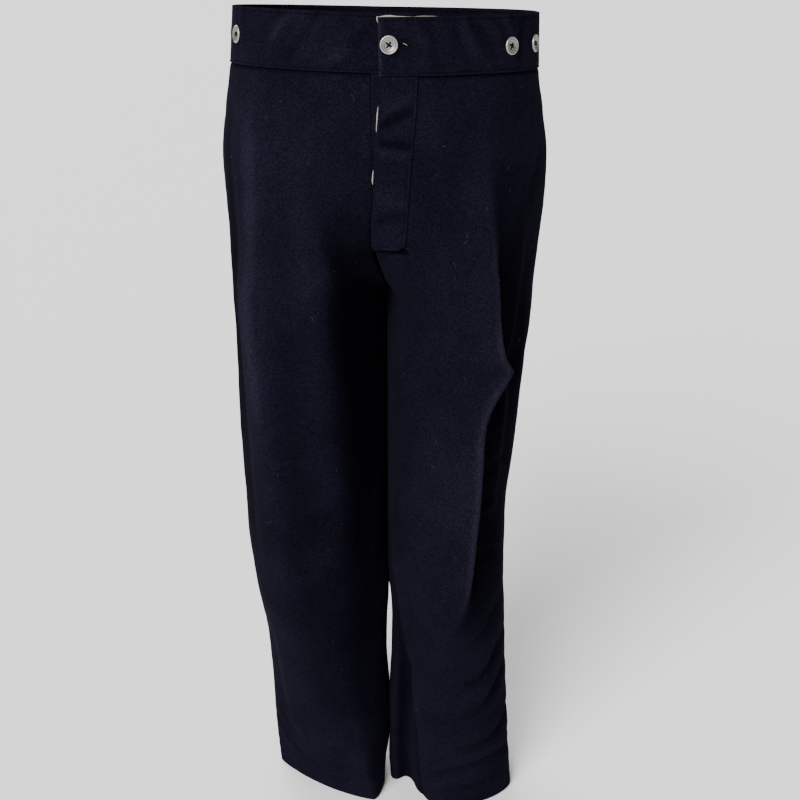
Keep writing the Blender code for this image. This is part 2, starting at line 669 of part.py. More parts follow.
def add_button(name, mesh, side, place, drop):
    """A button on the waistband, square to the cloth."""
    spot = ring(side, -drop, [place], BAND_PROUD + BUTTON_SEAT)[0]
    above = ring(side, -drop, [place], BAND_PROUD + BUTTON_SEAT + BUTTON_HEIGHT)[0]
    outward = Vector(above - spot).normalized()
    across = Vector((0.0, 0.0, 1.0)).cross(outward).normalized()
    turn = Matrix((across, outward.cross(across), outward)).transposed()
    button = bpy.data.objects.new(name, mesh)
    bpy.context.collection.objects.link(button)
    button.matrix_world = Matrix.Translation(Vector(spot)) @ turn.to_4x4()
    return button


def main():
    for thing in list(bpy.data.objects):
        bpy.data.objects.remove(thing)
    wool = material("navy_wool", (0.013, 0.013, 0.026), 0.95)
    light_cotton = material("light_lining", (0.52, 0.49, 0.43), 0.9)
    metal = material("button_metal", (0.55, 0.54, 0.54), 0.42, 0.8)
    for side in ("right", "left"):
        for part in ("front", "back"):
            make_panel(side, part, wool)
        make_waistband(side, wool)
        make_band_lining(side, light_cotton)
    make_flap(wool)
    make_facing(light_cotton)
    make_stand(wool)
    button = button_with_holes(metal)
    waist_place = float(from_edge("left", -WAIST_BUTTON_DROP, WAIST_BUTTON_FROM_EDGE))
    add_button("waist_button", button, "left", waist_place, WAIST_BUTTON_DROP)
    for row in BRACE_BUTTONS:
        place = dict(zip(BRACE_BUTTON_COLUMNS, row))
        add_button(place["name"], button, place["side"], place["place"], place["drop"])
    for side in ("right", "left"):
        back_place = BACK_BUTTON_FROM_CENTRE - widths(side, -BACK_BUTTON_DROP)[1]
        add_button(f"brace_button_{side}_back", button, side, back_place, BACK_BUTTON_DROP)


main()
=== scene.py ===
"""Looks of the uniform trousers: fulled navy wool, seams, stitching, pale facings and pressed metal buttons.

All sizes are in metres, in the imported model's frame: +Z is up, the front faces -Y, and the wearer's left
leg is at +X. A place on the cloth is measured around one half from its outseam, to the front where positive.
"""

import functools
import math

import bmesh
import bpy
import numpy as np
from mathutils import Matrix, Vector


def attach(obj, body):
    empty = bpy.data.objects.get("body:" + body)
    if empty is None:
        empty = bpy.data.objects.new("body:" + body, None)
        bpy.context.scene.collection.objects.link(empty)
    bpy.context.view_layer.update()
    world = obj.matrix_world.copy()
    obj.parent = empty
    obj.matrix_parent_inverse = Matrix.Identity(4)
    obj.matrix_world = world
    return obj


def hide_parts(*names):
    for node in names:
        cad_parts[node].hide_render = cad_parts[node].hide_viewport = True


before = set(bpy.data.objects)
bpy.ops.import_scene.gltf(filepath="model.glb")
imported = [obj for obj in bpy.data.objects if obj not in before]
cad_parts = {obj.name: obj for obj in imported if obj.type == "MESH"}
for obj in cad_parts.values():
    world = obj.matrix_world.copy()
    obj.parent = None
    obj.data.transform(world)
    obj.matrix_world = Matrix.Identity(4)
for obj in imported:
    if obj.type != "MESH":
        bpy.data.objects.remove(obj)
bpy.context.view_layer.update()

# Driving sizes of the garment
OUTSEAM = 1.010
RISE = 0.300
WAISTBAND_HEIGHT = 0.057
CLOTH = 0.0020
SEAM_GAP = 0.0003
FORK = 0.105

# Waistband and its lining; the band stands a little proud of the panels below it
BAND_THICKNESS = 0.0025
BAND_PROUD = 0.0005
LINING = 0.0006
LINING_BELOW_RIM = 0.006
LINING_RIDES_UP = 0.0070
LINING_SHOWS_TO = 0.100
LINING_ABOVE_SEAM = 0.004

# The wearer's left front laps over the right one: how high it rides, and how far from its edge
LAP = 0.0041
LAP_FLAT = 0.050
LAP_END = 0.095
LAP_FADE_TOP = 0.218
LAP_FADE_BOTTOM = 0.250
BAND_UNDERLAP = 0.034

# Fly: strip on the wearer's left front, its facing, and the button stand under the right edge
FLAP_WIDTH_TOP = 0.0365
FLAP_WIDTH_BOTTOM = 0.0325
FLAP_BOTTOM = 0.236
FLAP_CORNER = 0.011
FLAP = 0.0013
FLAP_SEAT = 0.0006
FACING = 0.0006
FACING_SEAT = 0.0006
FACING_WIDTH = 0.028
FACING_BOTTOM = 0.190
FACING_INSET = 0.0004
FACING_PEEK = 0.0009
FACING_PEEKS = ((-0.0995, 0.0130), (-0.1595, 0.0075))
STAND = 0.0018
STAND_PROUD = 0.0003
STAND_SHOWS = 0.0084
STAND_SHOWS_TO = 0.185
STAND_BOTTOM = 0.205
STAND_UNDERLAP = 0.026

# Buttons: pressed metal, with a raised rim, a dished middle and four holes
BUTTON_RADIUS = 0.0090
BUTTON_HEIGHT = 0.0026
BUTTON_SEAT = 0.00045
BUTTON_HOLE_RADIUS = 0.00095
BUTTON_HOLE_SPREAD = 0.0019
WAIST_BUTTON_FROM_EDGE = 0.0102
WAIST_BUTTON_DROP = 0.0262

# Brace buttons: how far round the waistband they are from the outseam, to the front where positive, and
# how far below its top edge. The two at the back are measured from the centre back instead.
BRACE_BUTTONS = (
    ("brace_button_right_front", "right", 0.055, 0.0277),
    ("brace_button_right_side", "right", -0.015, 0.0277),
    ("brace_button_left_front", "left", 0.095, 0.0305),
    ("brace_button_left_side", "left", 0.050, 0.0300),
)
BACK_BUTTON_FROM_CENTRE = 0.045
BACK_BUTTON_DROP = 0.0290

# Working of the outlines
SECTION_POINTS = 160
STEP = 0.0015
MERGE = 0.000001

CROTCH_Z = -RISE
HEM_Z = -OUTSEAM
SEAM_Z = -WAISTBAND_HEIGHT

# Sections of one half, as distances from the middle plane. outer, front and back are the outermost,
# frontmost and rearmost points; inner is the inseam side of the leg. The last three columns are the
# roundness of the front towards the inseam, of the front towards the side, and of the back
# (2 is an ellipse, 1 a straight line).
SECTION_COLUMNS = (
    "z", "outer", "outer_y", "front_x", "front_y", "back_x", "back_y", "inner", "inner_y",
    "round_in", "round_out", "round_back",
)
RIGHT_SECTIONS = (
    (0.010, 0.1635, 0.000, 0.000, -0.1235, 0.000, 0.1235, 0.0000, 0.020, 2.0, 2.15, 2.2),
    (0.000, 0.1640, 0.000, 0.000, -0.1240, 0.000, 0.1240, 0.0000, 0.020, 2.0, 2.15, 2.2),
    (-0.057, 0.1690, 0.000, 0.000, -0.1255, 0.000, 0.1265, 0.0000, 0.020, 2.0, 2.15, 2.2),
    (-0.100, 0.1757, 0.000, 0.000, -0.1270, 0.000, 0.1320, 0.0000, 0.020, 2.0, 2.15, 2.2),
    (-0.160, 0.1838, 0.000, 0.005, -0.1280, 0.008, 0.1380, 0.0000, 0.020, 2.0, 2.10, 2.2),
    (-0.205, 0.1824, 0.000, 0.022, -0.1275, 0.030, 0.1375, 0.0000, 0.020, 2.0, 2.10, 2.2),
    (-0.250, 0.1808, 0.002, 0.052, -0.1260, 0.064, 0.1335, 0.0000, 0.020, 2.0, 2.05, 2.2),
    (-0.300, 0.1805, 0.004, 0.080, -0.1240, 0.088, 0.1275, 0.0000, 0.020, 2.0, 2.00, 2.1),
    (-0.350, 0.1795, 0.006, 0.088, -0.1205, 0.092, 0.1215, 0.0013, 0.020, 2.0, 2.00, 2.1),
    (-0.450, 0.1795, 0.008, 0.090, -0.1120, 0.094, 0.1125, 0.0013, 0.020, 2.0, 2.00, 2.0),
    (-0.600, 0.1785, 0.018, 0.084, -0.0950, 0.092, 0.1060, 0.0013, 0.020, 2.0, 1.90, 2.0),
    (-0.700, 0.1712, 0.026, 0.074, -0.0800, 0.088, 0.1050, 0.0030, 0.019, 1.9, 1.80, 2.0),
    (-0.790, 0.1605, 0.036, 0.060, -0.0650, 0.084, 0.1060, 0.0034, 0.017, 1.8, 1.65, 2.0),
    (-0.850, 0.1585, 0.042, 0.048, -0.0550, 0.082, 0.1090, 0.0013, 0.015, 1.8, 1.50, 2.0),
    (-0.940, 0.1570, 0.048, 0.032, -0.0420, 0.080, 0.1150, 0.0015, 0.013, 1.8, 1.40, 2.0),
    (-0.980, 0.1555, 0.052, 0.025, -0.0370, 0.080, 0.1180, 0.0070, 0.012, 1.8, 1.35, 2.0),
    (-1.020, 0.1530, 0.055, 0.020, -0.0345, 0.080, 0.1210, 0.0064, 0.011, 1.8, 1.30, 2.0),
)
LEFT_SECTIONS = (
    (0.010, 0.1632, 0.000, 0.000, -0.1235, 0.000, 0.1235, 0.0000, 0.020, 2.0, 2.15, 2.2),
    (0.000, 0.1635, 0.000, 0.000, -0.1240, 0.000, 0.1240, 0.0000, 0.020, 2.0, 2.15, 2.2),
    (-0.057, 0.1648, 0.000, 0.000, -0.1255, 0.000, 0.1265, 0.0000, 0.020, 2.0, 2.15, 2.2),
    (-0.100, 0.1705, 0.000, 0.000, -0.1270, 0.000, 0.1320, 0.0000, 0.020, 2.0, 2.15, 2.2),
    (-0.160, 0.1778, 0.000, 0.005, -0.1280, 0.008, 0.1380, 0.0000, 0.020, 2.0, 2.10, 2.2),
    (-0.205, 0.1765, 0.000, 0.022, -0.1275, 0.030, 0.1375, 0.0000, 0.020, 2.0, 2.10, 2.2),
    (-0.250, 0.1732, 0.002, 0.050, -0.1265, 0.062, 0.1335, 0.0000, 0.020, 2.0, 2.05, 2.2),
    (-0.300, 0.1700, 0.004, 0.074, -0.1250, 0.084, 0.1275, 0.0000, 0.020, 2.0, 2.00, 2.1),
    (-0.350, 0.1680, 0.004, 0.078, -0.1215, 0.086, 0.1210, 0.0013, 0.020, 2.0, 2.00, 2.1),
    (-0.430, 0.1600, 0.004, 0.080, -0.1140, 0.084, 0.1130, 0.0013, 0.020, 2.1, 2.00, 2.0),
    (-0.510, 0.1540, 0.004, 0.078, -0.1050, 0.082, 0.1080, 0.0013, 0.020, 2.1, 2.00, 2.0),
    (-0.590, 0.1468, 0.004, 0.077, -0.0960, 0.080, 0.1050, 0.0013, 0.020, 2.1, 2.00, 2.0),
    (-0.680, 0.1468, 0.004, 0.078, -0.0850, 0.080, 0.1030, 0.0018, 0.020, 2.0, 2.00, 2.0),
    (-0.730, 0.1488, 0.004, 0.080, -0.0785, 0.081, 0.1030, 0.0056, 0.018, 1.9, 2.00, 2.0),
    (-0.800, 0.1522, 0.004, 0.084, -0.0695, 0.083, 0.1040, 0.0034, 0.016, 1.8, 1.95, 2.0),
    (-0.860, 0.1560, 0.003, 0.088, -0.0620, 0.085, 0.1060, 0.0015, 0.014, 1.7, 1.90, 2.0),
    (-0.930, 0.1600, 0.002, 0.092, -0.0535, 0.086, 0.1100, 0.0013, 0.013, 1.6, 1.80, 2.0),
    (-1.020, 0.1672, 0.006, 0.094, -0.0440, 0.088, 0.1180, 0.0013, 0.012, 1.5, 1.60, 2.0),
)

# Height of the waistband's top edge over the frame's origin, at the centre front, side and centre back
RIM_HEIGHT = {"right": (-0.0018, 0.0040, 0.0000), "left": (-0.0055, -0.0030, 0.0000)}
RIM_FADE = 0.22

# Sideways place of the fly's free edge, and of the seam below it down to the crotch
EDGE_COLUMNS = ("z", "x")
FLY_EDGE = (
    (0.010, -0.0078),
    (-0.060, -0.0066),
    (-0.090, -0.0075),
    (-0.133, -0.0113),
    (-0.184, -0.0142),
    (-0.222, -0.0156),
    (-0.247, -0.0106),
    (-0.280, -0.0035),
    (-0.315, 0.0000),
)
EDGE_REACH = 0.060
EDGE_DEPTH = 0.050

# How far the legs' facing sides swing aside from front to back, so that the two legs nestle
NESTLE_COLUMNS = ("z", "swing")
NESTLE = (
    (-0.310, 0.0000),
    (-0.370, 0.0030),
    (-0.620, 0.0032),
    (-0.700, 0.0000),
    (-0.830, 0.0000),
    (-0.870, 0.0030),
    (-0.940, 0.0030),
    (-0.990, 0.0000),
)
NESTLE_Y = 0.018
NESTLE_DEPTH = 0.022
NESTLE_REACH = 0.045

# Folds. A fold runs down one half from top to bottom; its place is measured around the cloth from the
# outseam, to the front where positive and to the back where negative. It reaches this far towards the
# front and towards the back, and stands this high; a trough is negative.
FOLD_COLUMNS = (
    "side", "top_place", "top_z", "bottom_place", "bottom_z", "reach_front", "reach_back", "height",
)
FOLDS = (
    ("left", 0.060, -0.130, 0.040, -0.600, 0.014, 0.024, -0.0080),
    ("left", 0.088, -0.150, 0.072, -0.520, 0.018, 0.014, 0.0030),
    ("left", 0.200, -0.620, 0.166, -1.330, 0.016, 0.020, -0.0210),
    ("left", 0.075, -0.560, 0.020, -0.960, 0.020, 0.026, -0.0050),
    ("right", 0.205, -0.200, 0.150, -0.780, 0.040, 0.045, -0.0065),
    ("right", 0.050, -0.090, 0.036, -0.620, 0.020, 0.016, 0.0030),
    ("right", 0.018, -0.100, 0.010, -0.640, 0.014, 0.016, -0.0030),
    ("left", -0.130, -0.260, -0.105, -0.520, 0.022, 0.026, -0.0045),
    ("right", -0.135, -0.250, -0.100, -0.540, 0.024, 0.024, -0.0045),
    ("left", -0.060, -0.520, -0.090, -0.860, 0.022, 0.020, -0.0040),
    ("right", -0.050, -0.560, -0.085, -0.900, 0.020, 0.022, -0.0040),
)


def column(rows, names, name):
    """One named column of a table."""
    place = names.index(name)
    return [row[place] for row in rows]


def smooth_curve(places, values, at):
    """Values between those of a table, on a monotone cubic, so that nothing overshoots its rows."""
    x = np.array(places, float)
    y = np.array(values, float)
    if x[0] > x[-1]:
        x, y = x[::-1], y[::-1]
    step = np.diff(x)
    slope = np.diff(y) / step
    tangent = np.zeros_like(y)
    low, high = slope[:-1], slope[1:]
    weight_low = 2 * step[1:] + step[:-1]
    weight_high = step[1:] + 2 * step[:-1]
    turning = low * high <= 0
    safe_low = np.where(turning, 1.0, low)
    safe_high = np.where(turning, 1.0, high)
    mean = (weight_low + weight_high) / (weight_low / safe_low + weight_high / safe_high)
    tangent[1:-1] = np.where(turning, 0.0, mean)
    tangent[0], tangent[-1] = slope[0], slope[-1]
    at = np.clip(np.asarray(at, float), x[0], x[-1])
    i = np.clip(np.searchsorted(x, at) - 1, 0, len(step) - 1)
    t = (at - x[i]) / step[i]
    return (
        (1 + 2 * t) * (1 - t) ** 2 * y[i]
        + t * (1 - t) ** 2 * step[i] * tangent[i]
        + t * t * (3 - 2 * t) * y[i + 1]
        + t * t * (t - 1) * step[i] * tangent[i + 1]
    )


def ease(t):
    """0 below 0, 1 above 1, and smooth between."""
    t = np.clip(t, 0.0, 1.0)
    return t * t * (3 - 2 * t)


@functools.lru_cache(maxsize=None)
def section_sizes(side, z):
    """The half's section table, worked out for any height."""
    rows = RIGHT_SECTIONS if side == "right" else LEFT_SECTIONS
    places = column(rows, SECTION_COLUMNS, "z")
    return {
        name: float(smooth_curve(places, column(rows, SECTION_COLUMNS, name), z))
        for name in SECTION_COLUMNS[1:]
    }


def quarter(side_point, end_point, roundness, start=0.0):
    """A quarter superellipse, from a sideways extreme to a front or back one, less a share at its start."""
    power = 2 / roundness
    turn = np.linspace(start, math.pi / 2, SECTION_POINTS)
    across = np.cos(turn).clip(0, 1) ** power
    along = np.sin(turn).clip(0, 1) ** power
    x = end_point[0] + (side_point[0] - end_point[0]) * across
    y = side_point[1] + (end_point[1] - side_point[1]) * along
    return np.stack([x, y], axis=1)


def inner_quarter(inner, end_point, roundness, share):
    """The quarter beside the inseam. Above the crotch it starts on the middle plane, where halves join."""
    if share <= 0.0:
        return quarter(inner, end_point, roundness)
    if share >= 0.9999 or end_point[0] < 1e-5:
        flat = np.linspace(0.0, end_point[0], SECTION_POINTS)
        return np.stack([flat, np.full(SECTION_POINTS, end_point[1])], axis=1)
    power = 2 / roundness
    start = math.asin(share ** (1 / power))
    reach = end_point[0] / math.cos(start) ** power
    return quarter((end_point[0] - reach, inner[1]), end_point, roundness, start)


@functools.lru_cache(maxsize=None)
def plain_section(side, z, forked=True):
    """The half's outline before folds, as distances from the middle plane: its front part, from the centre
    front or inseam to the outseam, and its back part, from there to the centre back or inseam. Unforked, it
    runs right round the leg at any height."""
    size = section_sizes(side, z)
    inner = (size["inner"], size["inner_y"])
    outer = (size["outer"], size["outer_y"])
    front_end = (size["front_x"], size["front_y"])
    back_end = (size["back_x"], size["back_y"])
    up = min(max((z - CROTCH_Z) / FORK, 0.0), 1.0) if forked else 0.0
    joined = math.sqrt(1 - (1 - up) ** 2)
    front = np.concatenate([
        inner_quarter(inner, front_end, size["round_in"], joined),
        quarter(outer, front_end, size["round_out"])[-2::-1],
    ])
    back = np.concatenate([
        quarter(outer, back_end, size["round_back"]),
        inner_quarter(inner, back_end, size["round_back"], joined)[-2::-1],
    ])
    return front, back


# Parts of one half, in the order in which their widths are given
PARTS = ("front", "back")


def lengths_along(line):
    """Distance from the start of a line of points to each of them."""
    return np.concatenate([[0.0], np.cumsum(np.linalg.norm(np.diff(line, axis=0), axis=1))])


@functools.lru_cache(maxsize=None)
def widths(side, z, forked=True):
    """Width of the front panel and of the back panel, measured around the cloth."""
    return tuple(lengths_along(line)[-1] for line in plain_section(side, z, forked))


def fold_height(side, place, z, around):
    """How far the folds carry the cloth out, at places measured from the outseam."""
    total = np.zeros(len(place))
    for row in FOLDS:
        fold = dict(zip(FOLD_COLUMNS, row))
        if fold["side"] != side or not fold["bottom_z"] < z < fold["top_z"]:
            continue
        down = (fold["top_z"] - z) / (fold["top_z"] - fold["bottom_z"])
        middle = fold["top_place"] + (fold["bottom_place"] - fold["top_place"]) * down
        away = place - middle
        if z < CROTCH_Z:
            away = (away + around / 2) % around - around / 2
        reach = np.where(away > 0, fold["reach_front"], fold["reach_back"])
        total += fold["height"] * math.sin(math.pi * down) * np.exp(-((away / reach) ** 2))
    return total


def lap_height(from_edge, z):
    """How far the left front rides over the right one, at a distance from its edge."""
    near = ease((LAP_END - from_edge) / (LAP_END - LAP_FLAT))
    return LAP * near * ease((z + LAP_FADE_BOTTOM) / (LAP_FADE_BOTTOM - LAP_FADE_TOP))


def across_middle(x, y, z):
    """Sideways shift near the middle plane: the fly edge's own line, and the nestling of the two legs."""
    edge = smooth_curve(column(FLY_EDGE, EDGE_COLUMNS, "z"), column(FLY_EDGE, EDGE_COLUMNS, "x"), z)
    swing = smooth_curve(column(NESTLE, NESTLE_COLUMNS, "z"), column(NESTLE, NESTLE_COLUMNS, "swing"), z)
    at_front = edge * ease(-y / EDGE_DEPTH) * np.exp(-((x / EDGE_REACH) ** 2))
    between = swing * np.tanh((y - NESTLE_Y) / NESTLE_DEPTH) * np.exp(-((x / NESTLE_REACH) ** 2))
    return at_front + between


@functools.lru_cache(maxsize=None)
def whole_outline(side, z):
    """The half's plain outline as one line that runs on past both its ends: around the leg again below the
    crotch, and into the mirrored other half above it. Also the widths of the front and of the back part."""
    front, back = plain_section(side, z)
    line = np.concatenate([front, back[1:]])
    along = lengths_along(line)
    front_width, around = along[len(front) - 1], along[-1]
    if z < CROTCH_Z:
        before, after = line[:-1], line[1:]
        along = np.concatenate([along[:-1] - around, along, along[1:] + around])
    else:
        mirrored = line[::-1] * (-1.0, 1.0)
        before, after = mirrored[:-1], mirrored[1:]
        along = np.concatenate([-along[:0:-1], along, 2 * around - along[-2::-1]])
    return np.concatenate([before, line, after]), along, front_width, around - front_width


def bare_ring(side, z, place):
    """Points of the cloth's outer face around one half, at places measured around the cloth from the outseam,
    to the front where positive and to the back where negative."""
    line, along, front_width, back_width = whole_outline(side, z)
    around = front_width + back_width
    if z < CROTCH_Z:
        place = (place + back_width) % around - back_width
    distance = front_width - place

    def at(shift):
        return np.stack([np.interp(distance + shift, along, line[:, k]) for k in range(2)], axis=1)

    tangent = at(STEP) - at(-STEP)
    tangent /= np.linalg.norm(tangent, axis=1)[:, None]
    outward = np.stack([tangent[:, 1], -tangent[:, 0]], axis=1)
    flat = at(0.0) + outward * fold_height(side, place, z, around)[:, None]
    x = flat[:, 0] + np.where(distance < -MERGE, -SEAM_GAP / 2, SEAM_GAP / 2)
    y = flat[:, 1]
    if side == "left":
        y = y - np.where(place > 0, lap_height(distance, z), 0.0)
    else:
        x = -x
    front_rim, side_rim, back_rim = RIM_HEIGHT[side]
    share = np.where(place > 0, distance / front_width, 1 - place / back_width)
    rim = smooth_curve((0.0, 1.0, 2.0), (front_rim, side_rim, back_rim), share)
    return np.stack([x + across_middle(x, y, z), y, z + rim * ease(1 + z / RIM_FADE)], axis=1)


def from_edge(side, z, distance):
    """Places at these distances from the centre front."""
    return widths(side, z)[0] - np.asarray(distance, float)


# Finer grid of the visible cloth, its rounded edges, and how nearly its pieces meet at a seam
JOIN = 0.000002
TUCKED = 0.0012
GRID = 0.0030
BACK_GRID = 0.0036
ROW = 0.0034
EDGE_BAND = 0.0030
EDGE_STEPS = (0.0, 0.0002, 0.0005, 0.0009, 0.0014)
ROUNDING = 0.0009
THIN_ROUNDING = 0.0003
STRIP_ROUNDING = 0.0006
SNAP = 0.35
CLOSED_WITHIN = 0.00004
ROUNDED_SHARE = 0.49
WELD = 0.0000012
TOO_SHORT = 0.0000001
FORK_ROWS = 30
BAND_COLUMNS = 160

# Lining behind the rim: it starts lower round the back, and peeps out beside the overlap's top corner
LINING_LOWER_BEHIND = 0.012
LINING_LOWER_FADE = 0.020
LINING_PEEK_ROWS = 0.0115
LINING_PEEK_FADE = 0.002
LINING_EDGE_REACH = 1.35
LINING_EDGE_FULL = 1.16
LINING_RIPPLE = 0.16
LINING_RIPPLE_CELL = 0.011
LINING_PEEK = 0.0009
OVERLAP_CURL = 0.0017

# Inside finish: seam allowances pressed open, and the hem's turn-up
ALLOWANCE = 0.013
ALLOWANCE_CLOTH = 0.0013
ALLOWANCE_SEAT = 0.0003
TURN_UP = 0.038
TURN_UP_CLOTH = 0.0017
TURN_UP_STEP = 0.0015
TURN_UP_ABOVE = 0.002
TURN_UP_OVER = 0.003
ALLOWANCE_ABOVE_HEM = 0.004
ALLOWANCE_BELOW_FLY = 0.010
ALLOWANCE_COLUMNS = 7
ALLOWANCE_ROUNDING = 0.0005
HEM_ZONE = 0.045
HEM_TURN_ROWS = (0.0415, 0.0365, 5)
HEM_ROWS = (0.033, 0.006, 9)
HEM_STEPS = (0.0042, 0.0030, 0.0021, 0.0014, 0.0009, 0.0005, 0.0002, 0.0)
PANEL_ROUNDING = 0.0018
# Painted shade and highlight: how many times a piece's seams, grooves, lifts and curls count in the wool's
# tone
SEAM_SHADING_GAIN = 6.0
SEAM_GROOVE = 0.0018
FOOT_GROOVE = 0.0042
SEAM_LIFT = 0.0004
SEAM_LIFT_WIDTH = 0.013
SEAM_SINK = 0.0007
SEAM_SINK_WIDTH = 0.0016
SEAM_LIFT_FADE = 0.003
SEAM_PUCKER = 0.5
SEAM_PUCKER_CELL = 0.010
SEAM_GROOVE_WIDTH = 0.0022
SEAM_MOST = 0.0003
FLY_SEAM_BELOW = 0.004
FLY_SEAM_FADE = 0.02
FOOT_GROOVE_WIDTH = 0.0024
FOOT_GROOVE_BELOW = 0.0018
FOOT_GROOVE_START = (0.001, 0.004)
FOOT_GROOVE_END = (0.003, 0.006)
BLIND_HEM_SINK = 0.00022
BLIND_HEM_WIDTH = 0.0022

# Line of the fold from the wearer's left hip: height, place and strength
HIP_LINE = (
    (-0.100, 0.038, 0.00), (-0.132, 0.046, 0.55), (-0.174, 0.061, 1.00), (-0.213, 0.082, 1.00),
    (-0.250, 0.094, 0.60), (-0.300, 0.100, 0.00),
)

